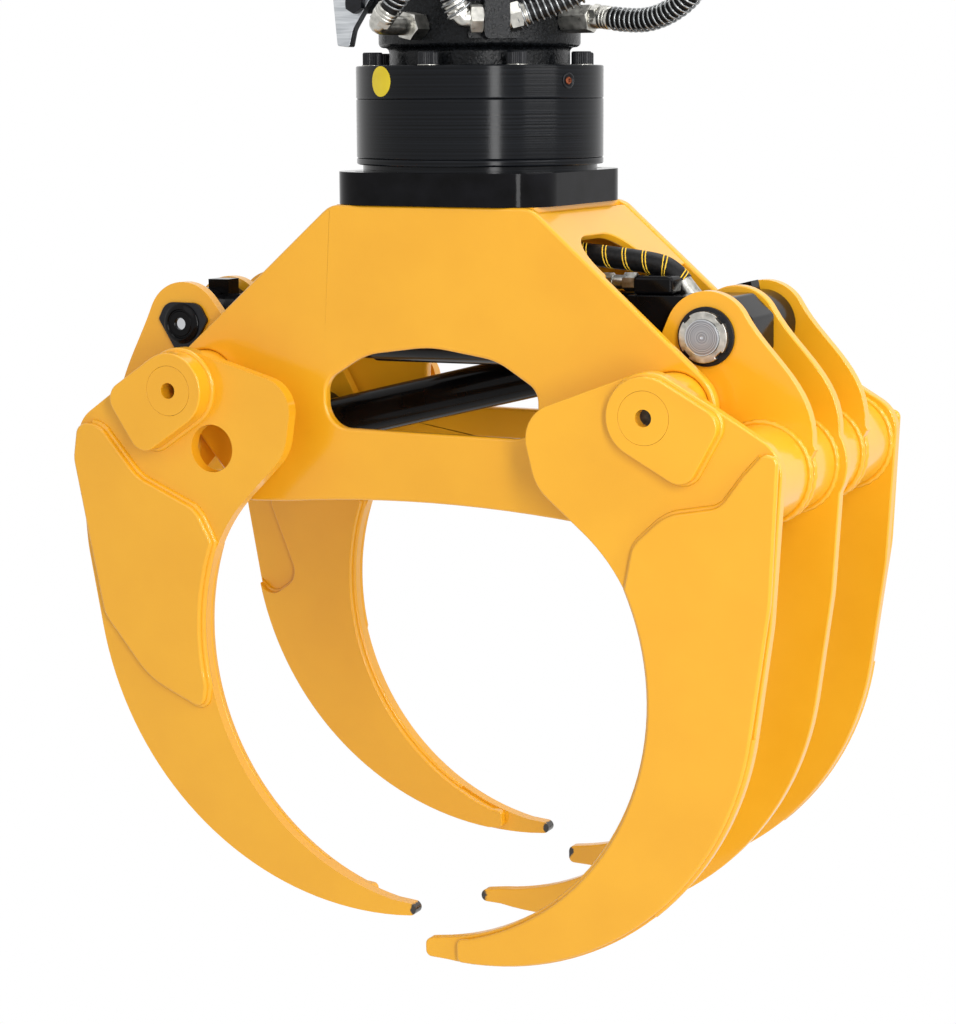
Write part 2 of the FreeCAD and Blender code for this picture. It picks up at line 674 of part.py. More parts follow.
def frame():
    for label, sign in (("front_cheek", "-"), ("back_cheek", "")):
        cheek = plate(label, cheek_outline() + window_outline(), "sizes.cheek_thick", [
            (-half_span, 0, "bush_outer"), (half_span, 0, "bush_outer")])
        place(cheek, y=sign + "(sizes.cheek_half_width - sizes.cheek_thick / 2)", z="-sizes.pin_drop")
        done(cheek, label)
    inner = size("cheek_half_width") - size("cheek_thick")
    half = size("frame_top_half")
    top = new_body("frame_top_plate")
    sketch = sketch_on(top, "XY_Plane", rounded([
        (-half, -inner, 0), (half, -inner, 0), (half, inner, 0), (-half, inner, 0)]))
    bolt_holes(sketch)
    sketch.addGeometry(Part.Circle(point(0, 0), Vector(0, 0, 1), size("shaft_radius")), False)
    pad_from(top, sketch, "sizes.top_plate_thick", both_ways=False)
    place(top, z=str(FRAME_TOP - size("top_plate_thick")))
    done(top, "frame_top_plate")
    ends = []
    length, notch = size("end_plate_length"), size("notch_width") / 2
    for side in (-1, 1):
        end = new_body("end_plate_%s" % ("left" if side < 0 else "right"))
        edge = size("notch_edge")
        front, back = -size("notch_shift") - notch, notch - size("notch_shift")
        if side < 0:
            front, back = -back, -front
        sketch = sketch_on(end, "XY_Plane", rounded([
            (0, -inner, 0), (length, -inner, 0), (length, front, 4), (edge, front, 55),
            (edge, back, 55), (length, back, 4), (length, inner, 0), (0, inner, 0)]))
        pad_from(end, sketch, "sizes.end_plate_thick", both_ways=False)
        slope = size("frame_slope")
        turn = FreeCAD.Rotation(Vector(0, 1, 0), slope)
        if side < 0:
            turn = FreeCAD.Rotation(Vector(0, 0, 1), 180).multiply(turn)
        drop = Vector(side * half, 0, FRAME_TOP - size("end_plate_thick") / math.cos(math.radians(slope)))
        end.Placement = FreeCAD.Placement(drop, turn)
        ends.append(end)
    together("end_plates", ends)
    bosses()


def boss_reach(side):
    """Inner and outer ends of a pin boss, measured from the centre plane."""
    horn = "left_horn_plane" if side < 0 else "right_horn_plane"
    tine = "left_tine_plane" if side < 0 else "right_tine_plane"
    inner = size(horn) + size("horn_thick") / 2 + size("side_gap")
    outer = size(tine) - size("tine_thick") / 2 - size("side_gap")
    return inner, outer


def bosses():
    tubes, bushes = [], []
    outer, middle = size("bush_outer") / 2, size("main_pin") / 2 + size("bush_wall")
    inner = size("main_pin") / 2 + size("running_gap")
    for side in (-1, 1):
        near, far = boss_reach(side)
        for front in (-1, 1):
            foot = Vector(side * half_span, front * near, PINS)
            way = Vector(0, front, 0)
            solid = rod_along(foot, way, far - near, outer)
            core = rod_along(foot, way, far - near, middle)
            hole = rod_along(foot, way, far - near, inner)
            tubes.append(solid.cut(core))
            bushes.append(core.cut(hole))
    made("frame_bosses", Part.makeCompound(tubes))
    made("pin_bushes", Part.makeCompound(bushes))


# ---------------------------------------------------------------- jaws
def circle_through(a, b, radius):
    """Centre of the circle of a radius through two points, on the left of a to b."""
    middle = ((a[0] + b[0]) / 2, (a[1] + b[1]) / 2)
    dx, dz = b[0] - a[0], b[1] - a[1]
    chord = math.hypot(dx, dz)
    lift = math.sqrt(radius ** 2 - chord ** 2 / 4) / chord
    return middle[0] - dz * lift, middle[1] + dx * lift


def at_level(centre, radius, z):
    """The outward point of a circle at a level."""
    return centre[0] + math.sqrt(radius ** 2 - (z - centre[1]) ** 2), z


def at_reach(centre, radius, x):
    """The low point of a circle at a distance out."""
    return x, centre[1] - math.sqrt(radius ** 2 - (x - centre[0]) ** 2)


def arc_between(centre, radius, a, b):
    """The arc of a circle from one of its points to another, the short way."""
    mx, mz = (a[0] + b[0]) / 2 - centre[0], (a[1] + b[1]) / 2 - centre[1]
    far = radius / math.hypot(mx, mz)
    return Part.Arc(point(*a), point(centre[0] + mx * far, centre[1] + mz * far), point(*b))


def throat_circle(edge=0):
    radius = size("throat_radius")
    top, low = (-size("throat_face"), -size("throat_top")), (-size("throat_reach"), -size("throat_depth"))
    return circle_through(low, top, radius), radius + edge


def back_circle(name, edge=0):
    """The outer curve of a jaw's tines: through the top of the curve and its lowest point."""
    radius = size(name + "_back_radius")
    top = (size(name + "_back_out"), -size(name + "_back_top"))
    low = (28 - size(name + "_tip"), -size(name + "_back_depth"))
    return circle_through(low, top, radius), radius - edge


def touch(px, pz, radius, side):
    """Unit normal of the line from a point that touches a circle about the origin."""
    a = math.atan2(pz, px) + side * math.acos(radius / math.hypot(px, pz))
    return math.cos(a), math.sin(a)


def tine_outline(name, tip):
    """Tine seen with its main pin at the origin, outward to +x."""
    rim = size("tine_rim")
    shoulder, heel = (size("tine_shoulder"), -size("tine_shoulder_down")), (-size("tine_heel"), 8)
    n1, n2 = touch(*shoulder, rim, 1), touch(*heel, rim, -1)
    det = n1[0] * n2[1] - n1[1] * n2[0]
    apex = (rim * (n2[1] - n1[1]) / det, rim * (n1[0] - n2[0]) / det)
    centre, throat = throat_circle()
    high = at_level(centre, throat, -size("throat_top"))
    tangent = ((centre[1] - high[1]) / throat, (high[0] - centre[0]) / throat)
    knee = (-size("tine_knee"), -size("tine_knee_down"))
    # the line from the knee at 45 degrees meets the throat curve's tangent
    slope = math.radians(-45)
    line = (math.cos(slope), math.sin(slope))
    det = line[0] * tangent[1] - line[1] * tangent[0]
    dx, dz = high[0] - knee[0], high[1] - knee[1]
    run = (dx * tangent[1] - dz * tangent[0]) / det
    meet = (knee[0] + line[0] * run, knee[1] + line[1] * run)
    span = math.hypot(meet[0] - high[0], meet[1] - high[1])
    turn = math.acos(-(line[0] * tangent[0] + line[1] * tangent[1]))
    blend = span / math.tan(turn / 2)
    middle, back = back_circle(name)
    back_at = at_level(middle, back, -size(name + "_back_top"))
    # straight on up from the outer curve, to two fifths of the way to the shoulder
    rise = 0.4 * (back_at[1] - shoulder[1])
    lean = (back_at[1] - middle[1]) / (back_at[0] - middle[0])
    bend = (back_at[0] + lean * rise, back_at[1] - rise)
    upper = rounded([
        (high[0], high[1], 0), (meet[0], meet[1], blend * 0.999), (knee[0], knee[1], 60),
        (heel[0], heel[1], 42), (apex[0], apex[1], rim), (shoulder[0], shoulder[1], 45),
        (bend[0], bend[1], 220), (back_at[0], back_at[1], 0)], closed=False)
    low = at_reach(middle, back, 28 - tip)
    top = at_reach(centre, throat, 32 - tip)
    outer = arc_between(middle, back, back_at, low)
    inner = arc_between(centre, throat, top, high)
    edge = size("tip_round")
    toe = rounded([
        (low[0], low[1], 0), (-tip, low[1] + 3, edge), (2 - tip, top[1] - 2, edge),
        (top[0], top[1], 0)], closed=False)
    return upper + [outer] + toe + [inner]


def fin_outline():
    """Short wear plate on the outside of a left tine."""
    edge = size("wear_edge")
    centre, throat = throat_circle(edge)
    middle, back = back_circle("left", edge)
    top, foot = at_level(centre, throat, -191), at_level(centre, throat, -377)
    side = at_level(middle, back, -296)
    outer = rounded([
        (foot[0], foot[1], 0), (-29, -408, 12), (52, -374, 110), (side[0] - 8, side[1], 40),
        (159, -96, 40), (152, -50, 16), (118, -50, 30), (62, -114, 60), (-24, -150, 40),
        (top[0], top[1], 0)], closed=False)
    return outer + [arc_between(centre, throat, top, foot)]


def overlay_outline(name, toe, top_corners, start):
    """Long wear plate: follows both curves almost to the tip, with a shaped top."""
    edge = size("wear_edge")
    centre, throat = throat_circle(edge)
    middle, back = back_circle(name, edge)
    first, last = at_level(centre, throat, -197), at_level(middle, back, -start)
    low, high = at_reach(middle, back, 22 - toe), at_reach(centre, throat, 18 - toe)
    top = rounded([(first[0], first[1], 0)] + top_corners + [(last[0], last[1], 0)], closed=False)
    end = rounded([
        (low[0], low[1], 0), (-toe, low[1] + 2, 7), (2 - toe, high[1] - 1, 7), (high[0], high[1], 0)], closed=False)
    return top + [arc_between(middle, back, last, low)] + end + [arc_between(centre, throat, high, first)]


RIGHT_TOP = [(-30, -146, 34), (14, -112, 60), (80, -106, 30), (112, -70, 30), (138, -46, 12), (155, -52, 10),
             (132, -218, 200)]
LEFT_TOP = [(-28, -168, 30), (110, -186, 24), (58, -312, 26), (104, -344, 20)]


def horn_outline(out, up, lug=None):
    """Horn plate about the horn pin, the main pin, the cross tube and, if any, the link lug."""
    rings = [(0, 0, 62)] if lug is None else [(0, 0, 50), (lug[0], lug[1], 46)]
    tube = (size("tube_out"), -size("tube_down"), size("tube_diameter") / 2 + 14)
    return hull(rings + [tube, (out, up, size("horn_rim"))])


# slope of a pin pad's long axis
PAD_TILT = -34


def pad_outline():
    """Round about the pin, squared off outward and below it."""
    radius, reach, corner = size("pad_radius"), size("pad_length"), size("pad_corner")
    tilt = math.radians(PAD_TILT)
    shape = []
    for u, v, edge in ((-radius, -radius, radius * 0.999), (reach, -radius, corner),
                       (reach, radius, corner), (-radius, radius, radius * 0.999)):
        shape.append((u * math.cos(tilt) - v * math.sin(tilt), u * math.sin(tilt) + v * math.cos(tilt), edge))
    return rounded(shape)


def flipped(path, side):
    return mirrored(path) if side < 0 else path


def jaw_plate(label, path, side, thick, plane, holes):
    """A plate of a jaw, drawn outward to +x and put at its main pin."""
    spots = [(side * hole[0],) + tuple(hole[1:]) for hole in holes]
    part = plate(label, flipped(path, side), thick, spots)
    turn = -size("right_rest") if side > 0 else 0
    across = "sizes.pin_half_span" if side > 0 else "-sizes.pin_half_span"
    return place(part, across, plane, "-sizes.pin_drop", turn)


def jaw(name, side):
    tine = "sizes.%s_tine_plane" % name
    horn = "sizes.%s_horn_plane" % name
    main = (0, 0, "main_pin")
    tube = (size("tube_out"), -size("tube_down"), "tube_diameter")
    horn_pin = (size("%s_horn_out" % name), size("%s_horn_up" % name), "horn_pin")
    lug_pin = (-size("lug_in"), -size("lug_down"), "link_pin")
    lug = (-size("lug_in"), -size("lug_down"))
    access = [(-size("lug_in"), -size("lug_down"), "access_hole")] if side < 0 else []
    face = tine + " + sizes.tine_thick / 2"
    pad_thick = "(sizes.overlay_thick + sizes.%s_pad_rise)" % name
    tip = size(name + "_tip")
    wears, pads, caps, inners = [], [], [], []
    for end, sign in (("front", "-"), ("back", "")):
        plane = "%s(%s)" % (sign, tine)
        done(jaw_plate("%s_tine_%s" % (name, end), tine_outline(name, tip), side, "sizes.tine_thick", plane,
                       [main] + access), "%s_tine_%s" % (name, end))
        outside = "%s(%s + sizes.overlay_thick / 2)" % (sign, face)
        shape = fin_outline() if side < 0 else overlay_outline(
            "right", size("right_wear_toe"), RIGHT_TOP, size("right_back_top"))
        wears.append(jaw_plate("%s_wear_%s" % (name, end), shape, side, "sizes.overlay_thick", outside, []))
        pad_plane = "%s(%s + %s / 2)" % (sign, face, pad_thick)
        pads.append(jaw_plate("%s_pad_%s" % (name, end), pad_outline(), side, pad_thick, pad_plane,
                              [(0, 0, "pin_cap", "cap_gap")]))
        caps.append(jaw_plate("%s_cap_%s" % (name, end), [Part.Circle(point(0, 0), Vector(0, 0, 1), size("pin_cap") / 2)],
                              side, pad_thick, pad_plane, [(0, 0, "cap_hole")]))
        if side < 0:
            inside = "%s(%s - sizes.tine_thick / 2 - sizes.inner_wear / 2)" % (sign, tine)
            shape = overlay_outline("left", size("inner_wear_toe"), LEFT_TOP, 323)
            inners.append(jaw_plate("left_inner_wear_%s" % end, shape, side, "sizes.inner_wear", inside, []))
    together("%s_wear_plates" % name, wears)
    together("%s_pin_pads" % name, pads)
    together("%s_pin_caps" % name, caps)
    outline = horn_outline(horn_pin[0], horn_pin[1])
    with_lug = horn_outline(horn_pin[0], horn_pin[1], lug)
    if side < 0:
        together("left_inner_wear_plates", inners)
        plates = [("front", "-(%s)" % horn, outline, [main, tube, horn_pin]),
                  ("middle", "0", with_lug, [main, tube, horn_pin, lug_pin]),
                  ("back", horn, with_lug, [main, tube, lug_pin])]
    else:
        plates = [("front", "-(%s)" % horn, outline, [main, tube, horn_pin]),
                  ("back", horn, outline, [main, tube, horn_pin])]
    for end, plane, path, holes in plates:
        label = "%s_horn_%s" % (name, end)
        thick = "sizes.tine_thick" if end == "middle" else "sizes.horn_thick"
        done(jaw_plate(label, path, side, thick, plane, holes), label)


def middle_tine():
    """The middle right tine runs up into the middle horn plate."""
    out, up = size("right_horn_out"), size("right_horn_up")
    body = new_body("right_tine_middle")
    pad_from(body, sketch_on(body, "XZ_Plane", tine_outline("right", size("middle_tip"))), "sizes.tine_thick")
    pad_from(body, sketch_on(body, "XZ_Plane", horn_outline(out, up)), "sizes.tine_thick")
    holes = sketch_on(body, "XZ_Plane", [])
    add_hole(holes, 0, 0, "main_pin")
    add_hole(holes, out, up, "horn_pin")
    add_hole(holes, size("tube_out"), -size("tube_down"), "tube_diameter")
    pocket_from(body, holes)
    place(body, "sizes.pin_half_span", "0", "-sizes.pin_drop", -size("right_rest"))
    done(body, "right_tine_middle")


def cross_tube(name, side):
    out, up = size("tube_out"), -size("tube_down")
    if side > 0:
        out, up = opened(out, up)
    reach = size("%s_tine_plane" % name) - size("tine_thick") / 2
    foot = Vector(side * (half_span + out), -reach, PINS + up)
    outer = size("tube_diameter") / 2
    tube = rod_along(foot, Vector(0, 1, 0), 2 * reach, outer)
    made("%s_cross_tube" % name, tube.cut(rod_along(foot, Vector(0, 1, 0), 2 * reach, outer - size("tube_wall"))))


def pin_along(label, at, radius, front, back, heads=()):
    """A pin along Y; heads are (start, length, radius) along it."""
    pin = rod_along(Vector(at.x, front, at.z), Vector(0, 1, 0), back - front, radius)
    for start, length, reach in heads:
        pin = pin.fuse(rod_along(Vector(at.x, start, at.z), Vector(0, 1, 0), length, reach))
    return made(label, pin)


def pins():
    for name, side in (("left", -1), ("right", 1)):
        reach = size("%s_tine_plane" % name) + size("tine_thick") / 2
        at = Vector(side * half_span, 0, PINS)
        pin_along("%s_main_pin" % name, at, size("main_pin") / 2, -reach, reach)
    radius = size("horn_pin") / 2
    left_face = size("left_horn_plane") + size("horn_thick") / 2
    right_face = size("right_horn_plane") + size("horn_thick") / 2
    middle = size("tine_thick") / 2
    pin_along("left_horn_pin", LEFT_HORN, radius, -left_face - 6, middle + 5, [(middle, 5, radius + 6)])
    link_radius = size("link_pin") / 2
    pin_along("link_pin", LUG, link_radius, -middle - 5, left_face, [(-middle - 5, 5, link_radius + 6)])
    pin_along("right_horn_pin", RIGHT_HORN, radius, -right_face - 16, right_face + 6, [(right_face, 6, radius + 8)])
    keeper = plate("left_pin_keeper", rounded([
        (-35, 5, 4), (-24, 27, 18), (26, 27, 18), (38, 5, 4), (15, -32, 3), (-12, -32, 3)]), "5",
        [(0, 0, "horn_pin")])
    place(keeper, str(LEFT_HORN.x), str(-left_face - 2.5), str(LEFT_HORN.z))
    done(keeper, "left_pin_keeper")
    front = Vector(RIGHT_HORN.x, -right_face, RIGHT_HORN.z)
    forward = Vector(0, -1, 0)
    washer = rod_along(front, forward, 5, 35).cut(rod_along(front, forward, 5, radius))
    made("right_pin_washer", washer)
    face = front + forward * 5
    nut = rod_along(face, forward, 9, 30).cut(rod_along(face, forward, 9, radius))
    for i in range(4):
        a = math.radians(45 + 90 * i)
        slot = Part.makeBox(10, 9, 7, face + Vector(-5, -9, 27))
        slot.rotate(face, forward, math.degrees(a))
        nut = nut.cut(slot)
    made("right_pin_nut", nut)


# ---------------------------------------------------------------- cylinder and link
def along(part, tilt, origin, y):
    """Puts a piece drawn with -x towards the left jaw on its own pivot line."""
    part.Placement = FreeCAD.Placement(
        Vector(origin.x, y, origin.z), FreeCAD.Rotation(Vector(0, 1, 0), tilt))
    return part


# the pressure port on the cap, from the right horn pin, and the way the hose leaves it
PORT_WAY = Vector(-0.64, 0, 0.77).normalize()
PORT = Vector(-size("barrel_start") + 58, 23, 45) + PORT_WAY * 15


def cylinder():
    y = -size("cylinder_plane")
    start, end = -size("barrel_start"), -size("barrel_start") - size("barrel_length")
    outer, bore, rod = size("barrel_radius"), size("bore_radius"), size("rod_radius")
    gap = size("running_gap")
    back = Vector(-1, 0, 0)
    origin = Vector(0, 0, 0)

    def bar(x, length, radius):
        return rod_along(Vector(x, 0, 0), back, length, radius)

    def fixed(label, shape):
        return along(made(label, shape), CYLINDER_TILT, RIGHT_HORN, y)

    fixed("cylinder_barrel", bar(start, size("barrel_length"), outer).cut(bar(start, size("barrel_length"), bore)))
    inside = bar(end + 34, 34, bore - gap)
    nut = bar(end, size("gland_length"), outer - 3)
    fixed("cylinder_gland", inside.fuse(nut).cut(bar(end + 40, 80, rod + gap)))
    cap = plate("cylinder_cap", rounded([
        (start, -45, 0), (24, -45, 0), (50, -20, 0), (50, 20, 0), (24, 45, 0), (start, 45, 0)]),
        "sizes.eye_width", [(0, 0, "horn_pin", "running_gap")])
    along(done(cap, "cylinder_cap"), CYLINDER_TILT, RIGHT_HORN, y)
    # ports: an elbow block on the cap, a steel pipe to the gland end
    level, aside = size("port_rise"), -size("port_side")
    block = Part.makeBox(50, 33, 22, Vector(start + 4, aside - 15, 45))
    block = block.makeFillet(5, [e for e in block.Edges if e.BoundBox.ZMin > 60])
    fixed("port_block", block)
    fitting = hexagon(Vector(start + 4, aside, level), back, 20, 16)
    fitting = fitting.fuse(rod_along(Vector(start - 12, aside, level), back, 14, 8.5))
    union = hexagon(Vector(start - 26, aside, level), back, 19, 14)
    stem = rod_along(PORT - PORT_WAY * 26, PORT_WAY, 26, 12)
    stem = stem.cut(Part.makeBox(80, 80, 45, Vector(PORT.x - 40, PORT.y - 40, 0)))
    fixed("port_unions", Part.makeCompound([fitting.fuse(union), stem]))
    pipe_end = end + 20
    pipe = rod_along(Vector(start - 40, aside, level), back, start - 40 - pipe_end, size("steel_pipe"))
    foot = Part.makeBox(30, 26, 24, Vector(end - 10, aside - 13, 44.6))
    saddle = foot.cut(rod_along(Vector(end + 40, 0, 0), back, 80, outer))
    fixed("rod_side_pipe", Part.makeCompound([pipe.cut(saddle), saddle]))
    grease = Part.makeBox(30, 26, 23, Vector(3, -13, -9))
    length = CYLINDER.Length
    eye_x = -length
    piston_at = -size("piston_at")
    shaft = rod_along(Vector(eye_x + 30, 0, 0), Vector(1, 0, 0), -eye_x - 30 + piston_at, rod)
    piston = rod_along(Vector(piston_at - size("piston_length") / 2, 0, 0), Vector(1, 0, 0),
                       size("piston_length"), bore - gap)
    width = size("eye_width")
    eye = rod_along(Vector(eye_x, -width / 2, 0), Vector(0, 1, 0), width, size("eye_radius"))
    collar = rod_along(Vector(eye_x, 0, 0), Vector(1, 0, 0), size("eye_radius") + 12, 34)
    hole = rod_along(Vector(eye_x, -width / 2, 0), Vector(0, 1, 0), width, size("horn_pin") / 2 + size("open_pivot_gap"))
    rod_piece = shaft.fuse([eye, collar]).cut(hole)
    fixed("piston", piston.cut(shaft))
    lift = Vector(eye_x, 0, size("eye_radius") - 3)
    grease.translate(lift)
    cap_block = grease.cut(rod_piece)
    fixed("piston_rod", Part.makeCompound([rod_piece, cap_block]))


def slotted(at, width, radius):
    """A block with two round ends, upright, the link's free height between their centres."""
    half = Vector(0, 0, size("link_slot") / 2)
    across = Vector(0, 1, 0)
    low, high = rod_along(at - half, across, width, radius), rod_along(at + half, across, width, radius)
    middle = Part.makeBox(2 * radius, width, 2 * half.z, at - half - Vector(radius, 0, 0))
    return low.fuse([high, middle])


def link():
    y = size("link_plane")
    length = LINK.Length
    width, reach = size("eye_width"), size("eye_radius")
    pin = size("horn_pin") / 2
    back = Vector(-1, 0, 0)
    across = Vector(0, 1, 0)
    free = size("link_pin") / 2 + size("open_pivot_gap")
    far_reach = free + size("link_eye_wall")
    sink = 9
    tube = rod_along(Vector(sink - reach, 0, 0), back, length - reach - far_reach + 2 * sink, size("link_radius"))
    eye = rod_along(Vector(0, -width / 2, 0), across, width, reach)
    eye = eye.cut(rod_along(Vector(0, -width / 2, 0), across, width, pin + size("running_gap")))
    far = Vector(-length, -width / 2, -size("link_slot_drop"))
    outside = slotted(far, width, far_reach)
    bar = tube.cut(rod_along(Vector(0, -width / 2, 0), across, width, reach - 1)).fuse([eye, outside])
    bar = bar.cut(slotted(far, width, free))
    block = Part.makeBox(30, 26, 14, Vector(-15, -13, reach - 3))
    block = block.cut(rod_along(Vector(0, -20, 0), across, 40, reach))
    along(made("link_bar", Part.makeCompound([bar, block])), LINK_TILT, RIGHT_HORN, y)


def cylinder_hoses():
    y = -size("cylinder_plane")
    low = FRAME_TOP - size("top_plate_thick")
    made("hose_manifold", Part.makeBox(76, 90, 56, Vector(-38, y - 41, low - 56)))
    tilt = FreeCAD.Rotation(Vector(0, 1, 0), CYLINDER_TILT)
    port = RIGHT_HORN + tilt.multVec(PORT) + Vector(0, y, 0)
    away = tilt.multVec(PORT_WAY)
    level = low - 34
    bend = port + away * 20
    hose("pressure_hose", [
        Vector(38, port.y, level), Vector(92, port.y, level), Vector(148, port.y, level - 5),
        Vector(200, port.y, level - 10), Vector(bend.x - 24, port.y, bend.z + 7), bend, port],
        size("pipe_radius"))
    end = -size("barrel_start") - size("barrel_length")
    foot = RIGHT_HORN + tilt.multVec(Vector(end + 5, -size("port_side"), 68.9)) + Vector(0, y, 0)
    level = low - 18
    hose("return_hose", [
        Vector(-38, foot.y, level), Vector(foot.x + 18, foot.y, level),
        Vector(foot.x, foot.y, level - 19), foot], size("pipe_radius") - 3)


rotator_head()
housing()
rotor()
ports_and_hoses()
frame()
jaw("left", -1)
jaw("right", 1)
middle_tine()
cross_tube("left", -1)
cross_tube("right", 1)
pins()
cylinder()
link()
cylinder_hoses()

doc.recompute()
bad = [item.Label for item in doc.Objects if "Invalid" in item.State or "Error" in item.State]
bad += [part.Label for part in PARTS if part.Shape.isNull() or not part.Shape.isValid()]
if bad:
    raise RuntimeError("failed: " + ", ".join(bad))
os.makedirs("parts", exist_ok=True)
for part in PARTS:
    part.Shape.exportStep("parts/%s.step" % part.Label)
print(len(PARTS), "parts")
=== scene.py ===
# %% [markdown]
# # A log grapple, dressed for the camera
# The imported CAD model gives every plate, pin and cylinder its place. These cells keep it as a
# fixed frame and add what a maker sees last: rounded flame-cut edges, weld beads, paint, turned
# steel, screws, spring guards and hoses.

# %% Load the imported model
import json
import math

import bmesh
import bpy
from mathutils import Matrix, Vector


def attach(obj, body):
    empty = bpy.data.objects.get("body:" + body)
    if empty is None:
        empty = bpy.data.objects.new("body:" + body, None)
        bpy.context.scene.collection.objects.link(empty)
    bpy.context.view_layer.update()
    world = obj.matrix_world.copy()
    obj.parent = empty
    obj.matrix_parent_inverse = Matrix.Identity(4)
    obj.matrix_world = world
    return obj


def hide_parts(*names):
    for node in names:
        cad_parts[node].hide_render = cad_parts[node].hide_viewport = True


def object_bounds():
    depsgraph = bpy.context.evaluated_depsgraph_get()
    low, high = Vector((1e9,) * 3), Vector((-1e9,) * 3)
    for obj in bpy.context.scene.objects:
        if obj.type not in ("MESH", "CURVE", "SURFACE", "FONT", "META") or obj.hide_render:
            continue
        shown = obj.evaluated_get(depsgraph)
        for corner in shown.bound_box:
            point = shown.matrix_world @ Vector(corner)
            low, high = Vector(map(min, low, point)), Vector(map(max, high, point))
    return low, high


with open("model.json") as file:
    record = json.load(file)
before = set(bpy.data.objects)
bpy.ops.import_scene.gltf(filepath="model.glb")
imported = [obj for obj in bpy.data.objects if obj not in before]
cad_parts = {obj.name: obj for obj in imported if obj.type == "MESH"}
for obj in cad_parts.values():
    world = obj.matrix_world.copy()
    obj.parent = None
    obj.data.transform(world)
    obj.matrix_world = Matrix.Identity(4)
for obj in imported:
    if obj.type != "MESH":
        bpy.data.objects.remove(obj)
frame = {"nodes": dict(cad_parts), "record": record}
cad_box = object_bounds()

nodes = frame["nodes"]
record = frame["record"]
body_of = {name: body for body, names in record["behaviour"]["bodies"].items() for name in names}
slot_of = {part["node"]: part["material_slot"] for part in record["subparts"]}
print(len(nodes), "CAD nodes")

# %% [markdown]
# ## The view
# A long lens far away keeps the frame's edges nearly parallel, as is usual for a product. The
# camera stands in front, right of centre and a little above the main pins. Its axes are worked out
# from three turns, because a matrix says exactly where it looks.

# %% Camera
CAMERA_PLACE = Vector((1.4184, -2.8553, -0.2333))
YAW, PITCH, ROLL = math.radians(26.507), math.radians(9.466), math.radians(-0.297)
LENS_MM, SENSOR_MM = 89.05, 36
ahead = Vector((-math.sin(YAW) * math.cos(PITCH), math.cos(YAW) * math.cos(PITCH), -math.sin(PITCH)))
level = Vector((math.cos(YAW), math.sin(YAW), 0))
upright = level.cross(ahead)
right = math.cos(ROLL) * level + math.sin(ROLL) * upright
above = math.cos(ROLL) * upright - math.sin(ROLL) * level

camera = bpy.data.objects.new("camera", bpy.data.cameras.new("camera"))
bpy.context.scene.collection.objects.link(camera)
axes = Matrix((right, above, -ahead)).transposed().to_4x4()
camera.matrix_world = Matrix.Translation(CAMERA_PLACE) @ axes
camera.data.lens = LENS_MM
camera.data.sensor_width = SENSOR_MM
bpy.context.scene.camera = camera
print("camera", round(CAMERA_PLACE.length, 2), "m from the link pin")

# %% [markdown]
# ## Helpers for modelling
# An operator acts on everything that is selected, so each piece starts by clearing the selection.
# A modifier is applied as soon as it is added, so that the next step works on real faces.


# %% Selection and modifiers
def only(obj):
    """Select this object alone and make it active."""
    if bpy.context.object and bpy.context.object.mode != "OBJECT":
        bpy.ops.object.mode_set(mode="OBJECT")
    bpy.ops.object.select_all(action="DESELECT")
    obj.select_set(True)
    bpy.context.view_layer.objects.active = obj
    return obj


def clear():
    """Select nothing, ready for a new primitive."""
    if bpy.context.object and bpy.context.object.mode != "OBJECT":
        bpy.ops.object.mode_set(mode="OBJECT")
    bpy.ops.object.select_all(action="DESELECT")


def modify(obj, kind, **settings):
    """Add a modifier and apply it at once."""
    only(obj)
    modifier = obj.modifiers.new(kind.lower(), kind)
    for name, value in settings.items():
        setattr(modifier, name, value)
    bpy.ops.object.modifier_apply(modifier=modifier.name)
    return obj


# %% [markdown]
# ## Keeping a piece's place
# A finished piece has its place in its mesh, with its object at the origin. Joining makes several meshes one
# piece, and aiming turns what was drawn along Z to where it points.


# %% Settling, shading, joining and aiming
def settle(obj):
    """Put an object's place into its mesh."""
    only(obj)
    if obj.type != "MESH":
        bpy.ops.object.convert(target="MESH")
        obj = bpy.context.object
    obj.parent = None
    bpy.ops.object.transform_apply(location=True, rotation=True, scale=True)
    return obj


def smooth(obj, angle=32):
    """Shade faces smooth where they meet at less than an angle in degrees."""
    only(obj)
    bpy.ops.object.shade_smooth_by_angle(angle=math.radians(angle))
    return obj


def joined(parts, name):
    """Several meshes as one piece."""
    only(parts[0])
    for part in parts[1:]:
        part.select_set(True)
    if len(parts) > 1:
        bpy.ops.object.join()
    obj = bpy.context.object
    obj.name = name
    return obj


def aim(obj, direction, spin=0.0):
    """Turn an object's own Z axis to a direction, then spin it about that axis."""
    turn = Vector(direction).to_track_quat("Z", "Y").to_matrix().to_4x4()
    obj.matrix_world = Matrix.Translation(obj.location) @ turn @ Matrix.Rotation(spin, 4, "Z")
    return obj


# %% [markdown]
# ## Shapes that come back
# Fittings, screws and caps are turned parts and hexagons. A turned part is half its section spun
# round, and a hexagon is cut from a six-sided bar and loses its corners to a cone. All are drawn
# along Z in millimetres, then aimed and put in place.


# %% Turned parts and hexagons
def linked(name, data):
    """A new object for a mesh or a curve, in the scene."""
    obj = bpy.data.objects.new(name, data)
    bpy.context.scene.collection.objects.link(obj)
    return obj


def copied(obj, name=None):
    """A copy with a mesh of its own."""
    return linked(name or obj.name, obj.data.copy())


def put(obj, place_mm, direction, spin=0.0):
    """Aim a piece drawn along Z and stand it at a place."""
    obj.location = Vector(place_mm) / 1000
    return settle(aim(obj, direction, spin))


